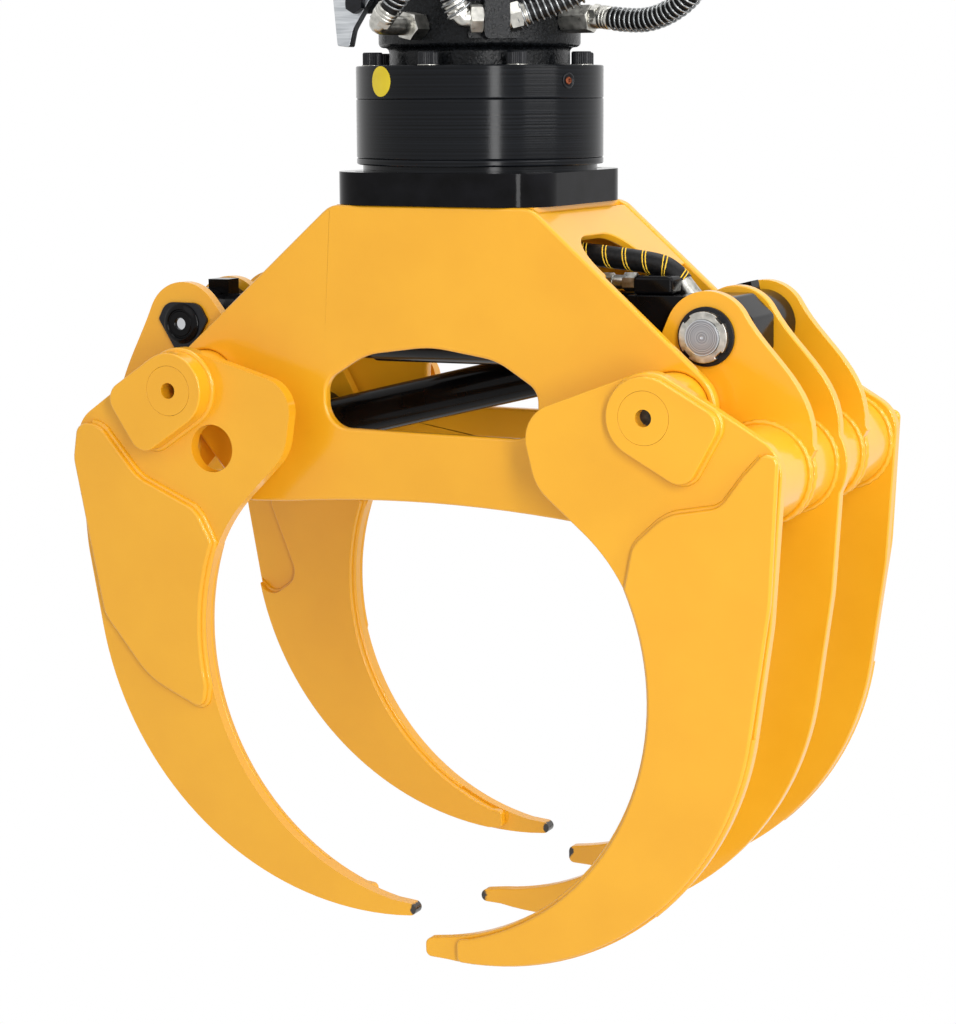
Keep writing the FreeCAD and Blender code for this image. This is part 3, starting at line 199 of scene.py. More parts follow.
def turned(name, section, sides=48):
    """Half a section, as (reach, height) in millimetres, spun about Z."""
    mesh = bpy.data.meshes.new(name)
    mesh.from_pydata([(reach / 1000, 0, height / 1000) for reach, height in section],
                     [(i, i + 1) for i in range(len(section) - 1)], [])
    obj = only(linked(name, mesh))
    bpy.ops.object.mode_set(mode="EDIT")
    bpy.ops.mesh.select_all(action="SELECT")
    bpy.ops.mesh.spin(steps=sides, angle=2 * math.pi, center=(0, 0, 0), axis=(0, 0, 1))
    bpy.ops.mesh.select_all(action="SELECT")
    bpy.ops.mesh.remove_doubles(threshold=0.00001)
    bpy.ops.mesh.normals_make_consistent(inside=False)
    return smooth(obj, 38)


def hexagon(name, across, length):
    """A hexagon from Z = 0 up, its corners turned off at both ends."""
    clear()
    corner = across / 2 / math.cos(math.radians(30))
    bpy.ops.mesh.primitive_cylinder_add(vertices=6, radius=corner / 1000, depth=length / 1000,
                                        location=(0, 0, length / 2000))
    obj = settle(bpy.context.object)
    obj.name = name
    flat, slope = across / 2 * 0.97, across * 0.06
    rim = corner + 0.5
    section = [(0, 0), (flat, 0), (rim, slope), (rim, length - slope), (flat, length), (0, length)]
    cone = turned("cone", section)
    modify(obj, "BOOLEAN", operation="INTERSECT", object=cone)
    bpy.data.objects.remove(cone)
    return smooth(obj, 25)


# %% [markdown]
# ## Smooth lines
# A hose, a pipe and a wire are each a smooth line with a round section. The line is a NURBS curve
# that is drawn towards a few chosen points, so it bends as evenly as rubber does.


# %% Lines and round sections
def route(name, points_mm):
    """A smooth line through a few chosen points, as a curve."""
    curve = bpy.data.curves.new(name, "CURVE")
    curve.dimensions = "3D"
    curve.resolution_u = 12
    spline = curve.splines.new("NURBS")
    spline.points.add(len(points_mm) - 1)
    for spot, place in zip(spline.points, points_mm):
        spot.co = (*(Vector(place) / 1000), 1.0)
    spline.order_u = 3
    spline.use_endpoint_u = True
    return linked(name, curve)


def line_of(obj):
    """The points of a curve's own line."""
    mesh = bpy.data.meshes.new_from_object(obj)
    points = [vertex.co.copy() for vertex in mesh.vertices]
    bpy.data.meshes.remove(mesh)
    return points


def travel(points):
    """The length of a line through points."""
    return sum((b - a).length for a, b in zip(points, points[1:]))


def thickened(obj, radius_mm, rounds=4):
    """Give a curve a round section with closed ends."""
    obj.data.bevel_depth = radius_mm / 1000
    obj.data.bevel_resolution = rounds
    obj.data.use_fill_caps = True
    return obj


# %% [markdown]
# ## Helpers for finishes
# A material is a small tree of nodes. One function adds a node, sets it and plugs its links, so
# each finish below reads as a recipe. Colours are written as sRGB hex, as a paint chart gives them,
# and turned to the linear values that the renderer works with.


# %% Nodes and colours
def linear(code):
    """An sRGB hex code as a linear RGBA colour."""
    channels = [int(code[i:i + 2], 16) / 255 for i in (1, 3, 5)]
    return [c / 12.92 if c <= 0.04045 else ((c + 0.055) / 1.055) ** 2.4 for c in channels] + [1.0]


def add(tree, kind, settings=None, **links):
    """Add a node; settings go to its properties or inputs, links are (node, output) pairs."""
    node = tree.nodes.new("ShaderNode" + kind)
    for name, value in (settings or {}).items():
        if name in node.inputs.keys():
            node.inputs[name].default_value = value
        else:
            setattr(node, name, value)
    for name, (source, output) in links.items():
        key = int(name[1:]) if name[0] == "_" else name.replace("_", " ")
        tree.links.new(source.outputs[output], node.inputs[key])
    return node


def finish(name, **sockets):
    """A new material with one Principled shader; returns the material, its tree and the shader."""
    made = bpy.data.materials.new(name)
    made.use_nodes = True
    tree = made.node_tree
    shader = tree.nodes["Principled BSDF"]
    for socket, value in sockets.items():
        shader.inputs[socket.replace("_", " ")].default_value = value
    return made, tree, shader


def grain(tree, size_mm, detail=2.0, stretch=(1, 1, 1)):
    """Noise on Object coordinates whose features are about size_mm across."""
    place = add(tree, "TexCoord")
    mapped = add(tree, "Mapping", {"Scale": stretch}, Vector=(place, "Object"))
    return add(tree, "TexNoise", {"Scale": 1000 / size_mm, "Detail": detail}, Vector=(mapped, "Vector"))


def relief(tree, shader, height, output, depth_mm, strength=1.0, after=None):
    """Bump of a real depth from a height between 0 and 1."""
    links = {"Height": (height, output)}
    if after:
        links["Normal"] = (after, "Normal")
    bump = add(tree, "Bump", {"Distance": depth_mm / 1000, "Strength": strength}, **links)
    tree.links.new(bump.outputs["Normal"], shader.inputs["Normal"])
    return bump


# %% [markdown]
# ## Patterns into sockets
# A pattern is a number from 0 to 1 at each place. It picks a colour between two, a number between
# two, or a height, and goes into the shader's own socket.


# %% Colours and numbers from a pattern
def blended(tree, factor, output, low, high, shader, socket="Base Color", start=0.0, end=1.0):
    """A colour between two hex codes, driven by a pattern, into a socket of the shader."""
    ramp = add(tree, "ValToRGB", Fac=(factor, output))
    ramp.color_ramp.elements[0].position = start
    ramp.color_ramp.elements[1].position = end
    ramp.color_ramp.elements[0].color = linear(low)
    ramp.color_ramp.elements[1].color = linear(high)
    tree.links.new(ramp.outputs["Color"], shader.inputs[socket])
    return ramp


def ranged(tree, factor, output, low, high, shader, socket="Roughness"):
    """A number between low and high, driven by a pattern, into a socket of the shader."""
    spread = add(tree, "MapRange", {"To Min": low, "To Max": high}, Value=(factor, output))
    tree.links.new(spread.outputs["Result"], shader.inputs[socket])
    return spread


# %% [markdown]
# ## Powder coat
# The steel is shot-blasted and powder coated in one warm yellow. Powder flows into a skin with a
# faint orange peel, about 3 mm from dimple to dimple. A clear gloss lies over it, and the ground
# wears it through at the very tips of the tines, which one distance from the tip is enough to draw.

# %% Yellow powder coat
WORN_MM, FADE_MM, RAGGED_MM = 11, 2, 8


def powder_coat(name, tip=None):
    """The yellow coat; where a tine's tip has been in the ground it is worn through to dark steel."""
    made, tree, shader = finish(name, Coat_Weight=0.6, Coat_Roughness=0.1, Specular_IOR_Level=0.3)
    clouds = grain(tree, 110, 3)
    colour = blended(tree, clouds, "Fac", "#E6A419", "#EAA91D", shader, start=0.35, end=0.65)
    ranged(tree, clouds, "Fac", 0.32, 0.44, shader)
    relief(tree, shader, grain(tree, 3.2, 1), "Fac", 0.12, 0.45)
    if tip is not None:
        place = add(tree, "TexCoord")
        flat = add(tree, "Mapping", {"Scale": (1, 0, 1)}, Vector=(place, "Object"))
        reach = add(tree, "VectorMath", {"operation": "DISTANCE"}, _0=(flat, "Vector"))
        reach.inputs[1].default_value = (tip[0], 0, tip[2])
        ragged = add(tree, "Math", {"operation": "MULTIPLY_ADD"},
                     _0=(grain(tree, 7, 3), "Fac"), _2=(reach, "Value"))
        ragged.inputs[1].default_value = RAGGED_MM / 1000
        limits = {"From Min": WORN_MM / 1000, "From Max": (WORN_MM + FADE_MM) / 1000,
                  "To Min": 1.0, "To Max": 0.0}
        worn = add(tree, "MapRange", limits, Value=(ragged, "Value"))
        mixed = add(tree, "MixRGB", {"Color2": linear("#2B2723")},
                    Fac=(worn, "Result"), Color1=(colour, "Color"))
        tree.links.new(mixed.outputs["Color"], shader.inputs["Base Color"])
    return made


yellow_coat = powder_coat("yellow_powder_coat")

# %% [markdown]
# ## Black finishes
# The rotator's housing is turned steel under thin gloss enamel, so the tool's rings stay in it.
# Its head is a sand casting under the same enamel, with a coarse skin. Screws are chemically
# blackened, which leaves them dull.

# %% Black enamels
TOOL_FEED_MM = 1000 / 420  # coarser than a real feed, so that it shows

# turned steel: level rings, so the noise runs along Z alone, and a sharp upright highlight
housing_enamel, tree, shader = finish("enamel_on_turned_steel", Roughness=0.12, Specular_IOR_Level=0.12)
place = add(tree, "TexCoord")
height = add(tree, "SeparateXYZ", Vector=(place, "Object"))
feed = add(tree, "TexNoise", {"Scale": 1000 / TOOL_FEED_MM, "Detail": 2.0, "noise_dimensions": "1D"},
           W=(height, "Z"))
blended(tree, feed, "Fac", "#0B0C0E", "#15171B", shader, start=0.35, end=0.65)
ranged(tree, feed, "Fac", 0.1, 0.22, shader)
relief(tree, shader, feed, "Fac", 0.2, 0.4)

# rolled plate: nearly flat, with a slow mottle
plate_enamel, tree, shader = finish("enamel_on_rolled_plate", Roughness=0.1, Specular_IOR_Level=0.07)
mottle = grain(tree, 30, 3)
blended(tree, mottle, "Fac", "#0A0A0B", "#131316", shader, start=0.3, end=0.7)
relief(tree, shader, grain(tree, 4, 1), "Fac", 0.1, 0.4)

# cylinder and link: the deepest black, with soft wide reflections
gloss_enamel, tree, shader = finish("gloss_black_enamel", Roughness=0.14, Specular_IOR_Level=0.1)
mottle = grain(tree, 40, 2)
blended(tree, mottle, "Fac", "#070708", "#0E0E10", shader, start=0.3, end=0.7)
relief(tree, shader, grain(tree, 5, 1), "Fac", 0.08, 0.4)

# sand casting: grains of 3.5 mm that break the gloss up
cast_enamel, tree, shader = finish("enamel_on_sand_casting", Roughness=0.2, Specular_IOR_Level=0.14)
sand = grain(tree, 3.5, 3)
blended(tree, sand, "Fac", "#08090A", "#17191C", shader, start=0.35, end=0.7)
ranged(tree, sand, "Fac", 0.16, 0.34, shader)
relief(tree, shader, sand, "Fac", 0.9, 0.8)

# blackened screws: dull, with oily smears
black_oxide, tree, shader = finish("black_oxide_steel", Roughness=0.36, Specular_IOR_Level=0.25)
smear = grain(tree, 5, 2)
blended(tree, smear, "Fac", "#0B0C10", "#17191E", shader, start=0.3, end=0.75)
relief(tree, shader, smear, "Fac", 0.05, 0.3)

# %% [markdown]
# ## Bright metals
# Fittings are zinc plated, which is bright with a faint warm haze. The pin ends are faced on a
# lathe, so fine rings catch the light in a fan. The piston rod is hard chrome.

# %% Zinc, turned steel, chrome, bare steel and bronze
zinc, tree, shader = finish("zinc_plate", Metallic=1.0, Roughness=0.3)
haze = grain(tree, 8, 3)
blended(tree, haze, "Fac", "#9E9D97", "#CFCDC6", shader, start=0.3, end=0.75)
ranged(tree, haze, "Fac", 0.2, 0.42, shader)
relief(tree, shader, grain(tree, 1.5, 1), "Fac", 0.05, 0.4)


def faced_steel(name, centre):
    """Steel faced on a lathe about an axis along Y through centre, with rings about 1 mm apart."""
    made, tree, shader = finish(name, Metallic=1.0, Roughness=0.34)
    place = add(tree, "TexCoord")
    centred = add(tree, "Mapping", {"Location": (-centre[0], 0, -centre[2]), "Scale": (1, 0, 1)},
                  Vector=(place, "Object"))
    reach = add(tree, "VectorMath", {"operation": "LENGTH"}, _0=(centred, "Vector"))
    rings = add(tree, "TexNoise", {"Scale": 900.0, "Detail": 1.0, "noise_dimensions": "1D"},
                W=(reach, "Value"))
    blended(tree, rings, "Fac", "#77777A", "#B9B9BC", shader, start=0.3, end=0.7)
    relief(tree, shader, rings, "Fac", 0.12, 0.8)
    return made


# chrome: ground and polished, so almost a mirror
chrome, tree, shader = finish("hard_chrome", Metallic=1.0, Roughness=0.08)
blended(tree, grain(tree, 50, 2), "Fac", "#B9BBBE", "#D9DADC", shader)
relief(tree, shader, grain(tree, 3, 1), "Fac", 0.01, 0.4)

# bare pins: scuffed and browned by grease
bare_steel, tree, shader = finish("worn_bare_steel", Metallic=1.0, Roughness=0.48)
scuff = grain(tree, 6, 4)
blended(tree, scuff, "Fac", "#2B2A28", "#55524C", shader, start=0.3, end=0.75)
ranged(tree, scuff, "Fac", 0.36, 0.6, shader)
relief(tree, shader, scuff, "Fac", 0.2, 0.5)

# bearing bronze: a warm, even brown
bronze, tree, shader = finish("bearing_bronze", Metallic=1.0, Roughness=0.34)
blended(tree, grain(tree, 12, 2), "Fac", "#7C5A2C", "#A98243", shader)
relief(tree, shader, grain(tree, 2, 1), "Fac", 0.03, 0.4)

# %% [markdown]
# ## Wire and plate
# The hose guards are wound from plated spring wire, greyer than the fittings. The hook plate is
# ground in one direction, so its pattern is stretched along the strokes: 2.4 mm across them and
# many times longer along them.

# %% Spring steel and ground plate
spring_steel, tree, shader = finish("zinc_plated_spring_wire", Metallic=1.0, Roughness=0.34)
blended(tree, grain(tree, 6, 2), "Fac", "#6C6F71", "#A9ABAB", shader, start=0.35, end=0.7)
relief(tree, shader, grain(tree, 1.5, 1), "Fac", 0.05, 0.4)

ground_plate, tree, shader = finish("ground_steel_plate", Metallic=1.0, Roughness=0.42)
lines = grain(tree, 2.4, 2, stretch=(0.06, 1, 1))
blended(tree, lines, "Fac", "#A4A8AC", "#CDD0D3", shader, start=0.3, end=0.7)
relief(tree, shader, lines, "Fac", 0.04, 0.4)

# %% [markdown]
# ## Rubber
# Hydraulic hose is a wire-braided tube under black rubber. The press that cures it leaves a cloth
# wrap's faint weave in the skin, so it is satin rather than shiny.

# %% Hose rubber
hose_rubber, tree, shader = finish("wrapped_hose_rubber", Roughness=0.42, Specular_IOR_Level=0.2)
wrap = grain(tree, 4, 3)
blended(tree, wrap, "Fac", "#0C0C0D", "#1B1B1C", shader, start=0.3, end=0.7)
relief(tree, shader, wrap, "Fac", 0.15, 0.5)

# %% [markdown]
# ## Sticker, thread and seal
# Vinyl is flat and evenly coloured, the marker thread in the hose's sleeve is a matt polyester, and
# the plug is sealed with a copper ring that has browned.

# %% Small finishes
vinyl, tree, shader = finish("yellow_vinyl", Roughness=0.4, Specular_IOR_Level=0.4)
blended(tree, grain(tree, 20, 2), "Fac", "#D9BE10", "#E0C822", shader, start=0.3, end=0.7)
relief(tree, shader, grain(tree, 2.5, 1), "Fac", 0.03, 0.3)

yellow_thread, tree, shader = finish("yellow_polyester_thread", Roughness=0.6, Specular_IOR_Level=0.3)
blended(tree, grain(tree, 3, 2), "Fac", "#E8B51E", "#F6D04A", shader, start=0.3, end=0.7)
relief(tree, shader, grain(tree, 1.2, 2), "Fac", 0.1, 0.5)

copper_seal, tree, shader = finish("browned_copper", Metallic=1.0, Roughness=0.45)
blended(tree, grain(tree, 3, 2), "Fac", "#5A2E20", "#96553A", shader, start=0.3, end=0.7)
relief(tree, shader, grain(tree, 1, 1), "Fac", 0.05, 0.4)

# %% [markdown]
# ## Finishes for the CAD nodes
# Each node names its material slot in the record. A table from slot to finish dresses all of them,
# and pieces that replace a node below take the same finish.

# %% Slot to finish
FINISHES = {
    "yellow_paint": yellow_coat,
    "cast_iron_black": cast_enamel,
    "housing_black": housing_enamel,
    "gloss_black": gloss_enamel,
    "black_oxide": black_oxide,
    "zinc": zinc,
    "bronze": bronze,
    "hose_rubber": hose_rubber,
    "manifold_steel": plate_enamel,
    "bright_steel": chrome,
}


def paint(obj, made):
    """Give a piece one material."""
    obj.data.materials.clear()
    obj.data.materials.append(made)
    return obj


for name, obj in nodes.items():
    paint(obj, FINISHES[slot_of[name]])
for name in ("left_main_pin", "right_main_pin"):
    paint(nodes[name], bare_steel)
print(len(FINISHES), "finishes on", len(nodes), "nodes")

# %% [markdown]
# ## Rounded edges
# No plate leaves the workshop with a knife edge: the torch and the grinder round it and the powder
# coat rounds it again. Each CAD plate is copied, its loose triangles are merged back to flat faces,
# and a bevel of the real width is run round every edge sharper than 30 degrees.


# %% Softened copies
MAIN_PIN = (0.320, -0.600)
PIN_COLLAR_MM = 36
CRISP = 0.12


def merged_copy(name, suffix):
    """A CAD node's copy with its loose triangles merged back to flat faces."""
    obj = only(copied(nodes[name], name + suffix))
    bpy.ops.object.mode_set(mode="EDIT")
    bpy.ops.mesh.select_all(action="SELECT")
    bpy.ops.mesh.remove_doubles(threshold=0.00002)
    bpy.ops.mesh.dissolve_limited(angle_limit=math.radians(0.6))
    bpy.ops.object.mode_set(mode="OBJECT")
    return obj


def near_pin(place, reach_mm):
    """Whether a place is within a reach of a main pin's axis."""
    return math.hypot(abs(place.x) - MAIN_PIN[0], place.z - MAIN_PIN[1]) < reach_mm / 1000


def softened(name, width_mm, shape=None):
    """A copy of a CAD node with rounded edges, standing for that node; a pin's bore stays crisp."""
    obj = merged_copy(name, "_finished")
    if shape:
        shape(obj)
    mesh = bmesh.new()
    mesh.from_mesh(obj.data)
    weight = mesh.edges.layers.float.new("bevel_weight_edge")
    for edge in mesh.edges:
        if len(edge.link_faces) == 2 and edge.calc_face_angle() > math.radians(30):
            middle = (edge.verts[0].co + edge.verts[1].co) / 2
            edge[weight] = CRISP if near_pin(middle, PIN_COLLAR_MM) else 1.0
    mesh.to_mesh(obj.data)
    mesh.free()
    modify(obj, "BEVEL", width=width_mm / 1000, segments=3, limit_method="WEIGHT", use_clamp_overlap=True)
    smooth(obj)
    modify(obj, "WEIGHTED_NORMAL", keep_sharp=True, weight=90)
    paint(obj, FINISHES[slot_of[name]])
    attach(obj, body_of[name])
    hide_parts(name)
    return obj


# %% [markdown]
# The horn plates end on the cross tube in a tip instead of going round it. A wedge, drawn as
# distances out from and above the jaw's pin, takes off what hangs below the tip.

# %% Places on a jaw and the wedge
REST_TURN = math.radians(5.5)
HORN_TOP = {"left": (93, 99), "right": (80.7, 101.5)}
TUBE_SIDE = {"left": (152.9, -53), "right": (152.3, -52.8)}
NEAR_EDGE = 0.006
WEDGE = [(153.5, -60), (144, -75), (87.5, -83), (30, -100), (30, -180), (220, -180), (220, -60)]


def jaw_place(side, out, up):
    """World x and z of a place drawn outward of and above a jaw's main pin, in metres."""
    turn = REST_TURN if side == "right" else 0.0
    x = out * math.cos(turn) - up * math.sin(turn)
    z = up * math.cos(turn) + out * math.sin(turn)
    across = MAIN_PIN[0] + x / 1000
    return Vector((across if side == "right" else -across, 0, MAIN_PIN[1] + z / 1000))


def trim(obj, side):
    """Cut off what hangs below the horn's tip."""
    corners = [jaw_place(side, *corner) for corner in WEDGE]
    count = len(corners)
    walls = [[i, count + i, count + (i + 1) % count, (i + 1) % count] for i in range(count)]
    caps = [list(range(count)), list(range(2 * count - 1, count - 1, -1))]
    wedge = bpy.data.meshes.new("wedge")
    wedge.from_pydata([(c.x, y, c.z) for y in (-0.3, 0.3) for c in corners], [], caps + walls)
    cutter = only(linked("wedge", wedge))
    bpy.ops.object.mode_set(mode="EDIT")
    bpy.ops.mesh.select_all(action="SELECT")
    bpy.ops.mesh.normals_make_consistent(inside=False)
    bpy.ops.object.mode_set(mode="OBJECT")
    modify(obj, "BOOLEAN", operation="DIFFERENCE", object=cutter)
    bpy.data.objects.remove(cutter)


# %% [markdown]
# ## The bow
# The long edge is found by its place, divided in 15, and each new point is moved outward by a curve
# that leaves the horn's top without a kink and is highest two thirds of the way down.


# %% Pushing the long edge out
def bowed(side, rise_mm, trimmed):
    """A shaping for one horn: its long edge is pushed out, most at two thirds of the way down."""
    def shape(obj):
        top, low = jaw_place(side, *HORN_TOP[side]), jaw_place(side, *TUBE_SIDE[side])
        along = (low - top).normalized()
        outward = Vector((along.z, 0, -along.x)) * (-1 if side == "right" else 1)
        span = (low - top).length

        def beside(co):
            gap = Vector((co.x, 0, co.z)) - top
            return gap.dot(along), gap.dot(outward)

        mesh = bmesh.new()
        mesh.from_mesh(obj.data)
        long_edges = []
        for edge in mesh.edges:
            (a, off_a), (b, off_b) = beside(edge.verts[0].co), beside(edge.verts[1].co)
            if abs(a - b) > 0.1 and abs(off_a) < NEAR_EDGE and abs(off_b) < NEAR_EDGE:
                long_edges.append(edge)
        bmesh.ops.subdivide_edges(mesh, edges=long_edges, cuts=14, use_grid_fill=False)
        for vertex in mesh.verts:
            down, off = beside(vertex.co)
            if abs(off) < NEAR_EDGE and 0 < down < span:
                share = down / span
                vertex.co += outward * (6.75 * rise_mm / 1000 * share ** 2 * (1 - share))
        mesh.to_mesh(obj.data)
        mesh.free()
        if trimmed:
            trim(obj, side)
        print(obj.name, len(long_edges), "long edges bowed")
    return shape


BOWED = {"left_horn_front": bowed("left", 8, True), "left_horn_middle": bowed("left", 8, True),
         "left_horn_back": bowed("left", 8, True), "right_horn_front": bowed("right", 16, True),
         "right_horn_back": bowed("right", 16, True), "right_tine_middle": bowed("right", 16, False)}

# %% [markdown]
# ## Which edges are how round
# A flame-cut plate gets about 2 mm all round, and the wear plates and pads more, because a weld
# runs round them. Machined parts keep small edges. The tines that dig get a coat of their own,
# worn through at the tip, which is read from the node as its farthest point inward.

# %% Plates and castings
PLATE_EDGE = 2.2
EDGES = {"front_cheek": 4.0, "back_cheek": 4.0, "right_wear_plates": 3.6, "left_wear_plates": 3.6,
         "left_inner_wear_plates": 3.0, "left_pin_pads": 5.0, "right_pin_pads": 4.0,
         "left_pin_caps": 0.6, "right_pin_caps": 0.6}
MACHINED = {"flange_plate": 2.0, "cylinder_cap": 3.0, "cylinder_gland": 1.5, "port_block": 4.0,
            "left_pin_keeper": 0.8, "right_pin_nut": 0.8, "right_pin_washer": 0.8, "side_hook": 1.0,
            "upper_cover": 0.8, "stator_ring": 0.5, "lower_cover": 0.8, "rotator_head": 1.5,
            "link_bar": 1.5}
PLATES = [name for name in nodes if slot_of[name] == "yellow_paint" and "cross_tube" not in name]
finished = {name: softened(name, EDGES.get(name, PLATE_EDGE), BOWED.get(name)) for name in PLATES}
finished.update({name: softened(name, width) for name, width in MACHINED.items()})
for name, end in (("left_tine_front", max), ("left_tine_back", max), ("right_tine_middle", min),
                  ("right_tine_back", min)):
    tip = end((vertex.co for vertex in nodes[name].data.vertices), key=lambda co: co.x)
    paint(finished[name], powder_coat(name + "_coat", tuple(tip)))
paint(finished["flange_plate"], plate_enamel)
paint(finished["side_hook"], ground_plate)
print(len(finished), "nodes with rounded edges")

# %% [markdown]
# ## Crane hoses
# Four hydraulic hoses come down the crane and end in the rotator's head, each in a plated fitting:
# a union nut, in two of them a forged elbow, and a sleeve crimped on the hose. A wound wire guards
# the rubber. Each route is a few points that a hose builder would choose, as distances out, aside
# and up from its port, and a smooth curve through them takes the bends. The crane holds them up.

# %% Routes of the crane hoses
HEAD_RADIUS, PORT_LEVEL, BOSS_WIDTH = 125, -150, 30
HOSE_RADIUS, SLEEVE_RADIUS = 11, 14
# azimuth, port, way out, nut, stem, elbow, route, the length above its port
CRANE_HOSES = [
    (-99, (0, 0, -8), (1, 0, 0), 26, 56, True,
     [(0, 0, 0), (0, 24, 25), (-1, 47, 52), (-3, 68, 80)], 0.105),
    (-56, (18, -1, 0), (0, -1, 0), 16, 8, True,
     [(0, 0, 0), (1, -12, 22), (2, -22, 48), (2, -30, 74)], 0.080),
    (-56, (18, 1, 0), (0, 0.97, 0.24), 16, 9, False,
     [(0, 0, 0), (4, 30, 9), (6, 58, 22), (6, 84, 39), (4, 107, 60)], 0.124),
    (-8, (0, 0, 0), (1, 0, 0), 40, 26, False,
     [(0, 0, 0), (37, -1, -5), (73, -4, 1), (106, -8, 17), (133, -12, 43), (151, -16, 76)], 0.185),
]


# %% [markdown]
# ## Wound wire
# The guard is a spring: a point that runs along the hose's line while it circles it. The circle's
# two directions are carried from step to step, so the winding never jumps where the hose bends.
# Its first turns open out to pass over the fitting's sleeve. The same winding lays yellow threads.

# %% Spring
TURN_STEPS, OPENED_MM, OPENS_OVER_MM = 14, 2.6, 6


def spring(name, line, radius_mm, wire_mm, pitch_mm, start_mm=0.0, wide_mm=0.0):
    """A wire wound round a smooth line; its first wide_mm are opened to pass over a sleeve."""
    length = travel(line)
    tangent = (line[1] - line[0]).normalized()
    side = tangent.orthogonal().normalized()
    total = int((length * 1000 - start_mm) / pitch_mm * TURN_STEPS)
    pace = (length - start_mm / 1000) / total
    spots, gone, leg, base = [], 0.0, 0, start_mm / 1000
    for i in range(total + 1):
        reach = base + pace * i
        while leg < len(line) - 2 and gone + (line[leg + 1] - line[leg]).length < reach:
            gone += (line[leg + 1] - line[leg]).length
            leg += 1
        tangent = (line[leg + 1] - line[leg]).normalized()
        side = (side - tangent * side.dot(tangent)).normalized()
        other = tangent.cross(side)
        opened = OPENED_MM * max(0.0, min(1.0, (wide_mm - reach * 1000) / OPENS_OVER_MM))
        angle = 2 * math.pi * i / TURN_STEPS
        out = (side * math.cos(angle) + other * math.sin(angle)) * (radius_mm + opened) / 1000
        spots.append((line[leg] + tangent * (reach - gone) + out) * 1000)
    return settle(thickened(route(name, spots), wire_mm, 1))


# %% [markdown]
# ## Hose fittings
# A sleeve is crimped in rings onto the hose, so its section is a row of lands and grooves. A
# straight fitting is a nut, a stem and a sleeve in line. An elbow is bent in between, so its pipe
# is one smooth line from the nut's way to the hose's way. Each fitting is joined into one piece.

# %% Fittings, guards and hoses
GUARD_GAP, GUARD_WIRE, GUARD_PITCH, GUARD_START = 2.3, 1.45, 7.0, 3.0
OVER_SLEEVE = {1: 24, 2: 20}
NUT_FACE = [(0, -1), (14.6, -1), (14.6, 0.6), (0, 0.6)]
SLEEVE = [(8, 0), (12.2, 0), (13.6, 1), (14, 2.4), (14, 5), (13.2, 5.8), (13.2, 6.6), (14, 7.4), (14, 9.6),
          (13.2, 10.4), (13.2, 11.2), (14, 12), (14, 13.6), (13.2, 15), (11.1, 15.2)]
LONG_SLEEVE = [(11.1, -0.2), (13.4, 0), (14, 1.2), (14, 5), (13.2, 6), (13.2, 7), (14, 8), (14, 12), (13.2, 13),
               (13.2, 14), (14, 15), (14, 20), (13, 22), (12, 26), (8, 26)]

for number, (azimuth, at, way, nut, stem, elbow, spots, length) in enumerate(CRANE_HOSES):
    label = str(number + 1)
    turn = Matrix.Rotation(math.radians(azimuth), 3, "Z")
    port = turn @ Vector((HEAD_RADIUS + at[0], at[1] * BOSS_WIDTH / 2, PORT_LEVEL + at[2]))
    way, leave = (turn @ Vector(way)).normalized(), (turn @ Vector(spots[1])).normalized()
    corner = port + way * (nut + stem)
    start = corner + leave * 26 if elbow else corner
    points = [start + turn @ Vector(spot) for spot in spots]
    parts = [put(hexagon("nut", 30, nut), port, way, 0.3),
             put(turned("nut_face", NUT_FACE), port, way)]
    if elbow:
        bend = route("elbow", [port + way * (nut - 2), port + way * (nut + stem * 0.35), corner,
                               corner + leave * 9, start - leave * 12])
        parts.append(settle(thickened(bend, SLEEVE_RADIUS - 2.5, 5)))
        parts.append(put(hexagon("swivel_nut", 25, 9), start - leave * 21, leave))
    else:
        section = [(0, 0), (12, 0), (12, stem * 0.5), (10.5, stem * 0.6), (10.5, stem), (0, stem)]
        parts.append(put(turned("stem", section), port + way * (nut - 1), way))
        parts.append(put(hexagon("swivel_nut", 25, 9), start - leave * 26, leave))
    parts.append(put(turned("sleeve", SLEEVE), start - leave * 15, leave))
    onward = (points[-1] - points[-2]).normalized()
    parts.append(put(turned("sleeve", LONG_SLEEVE), points[-1], onward))
    parts.append(put(hexagon("nut", 27, 20), points[-1] + onward * 26, onward))
    fitting = paint(joined(parts, "hose_fittings_" + label), zinc)
    hose = route("hose_" + label, points)
    line = line_of(hose)
    back = OVER_SLEEVE.get(number, 0)
    guarded = [(start - leave * back) / 1000] + line if back else line
    guard = spring("hose_guard_" + label, guarded, HOSE_RADIUS + GUARD_GAP, GUARD_WIRE, GUARD_PITCH,
                   GUARD_START, back + 2)
    paint(guard, spring_steel)
    paint(thickened(hose, HOSE_RADIUS), hose_rubber)
    for piece, slot in ((fitting, "zinc"), (guard, "zinc"), (hose, "hose_rubber")):
        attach(piece, "rotator_body")
    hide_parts("port_fittings")
    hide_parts("crane_hose_" + label)
    # what shows of the others is under six diameters, too short to bend or count as a cord
    print("hose", label, "runs", round(travel(line), 3), "m")

# %% [markdown]
# ## Cylinder hoses
# Under the frame's top plate, two hoses run from the manifold to the cylinder. The pressure hose
# wears a spiral sleeve whose paired yellow threads show that it is under full pressure. Each is
# one smooth line through the points of its CAD route, in millimetres.

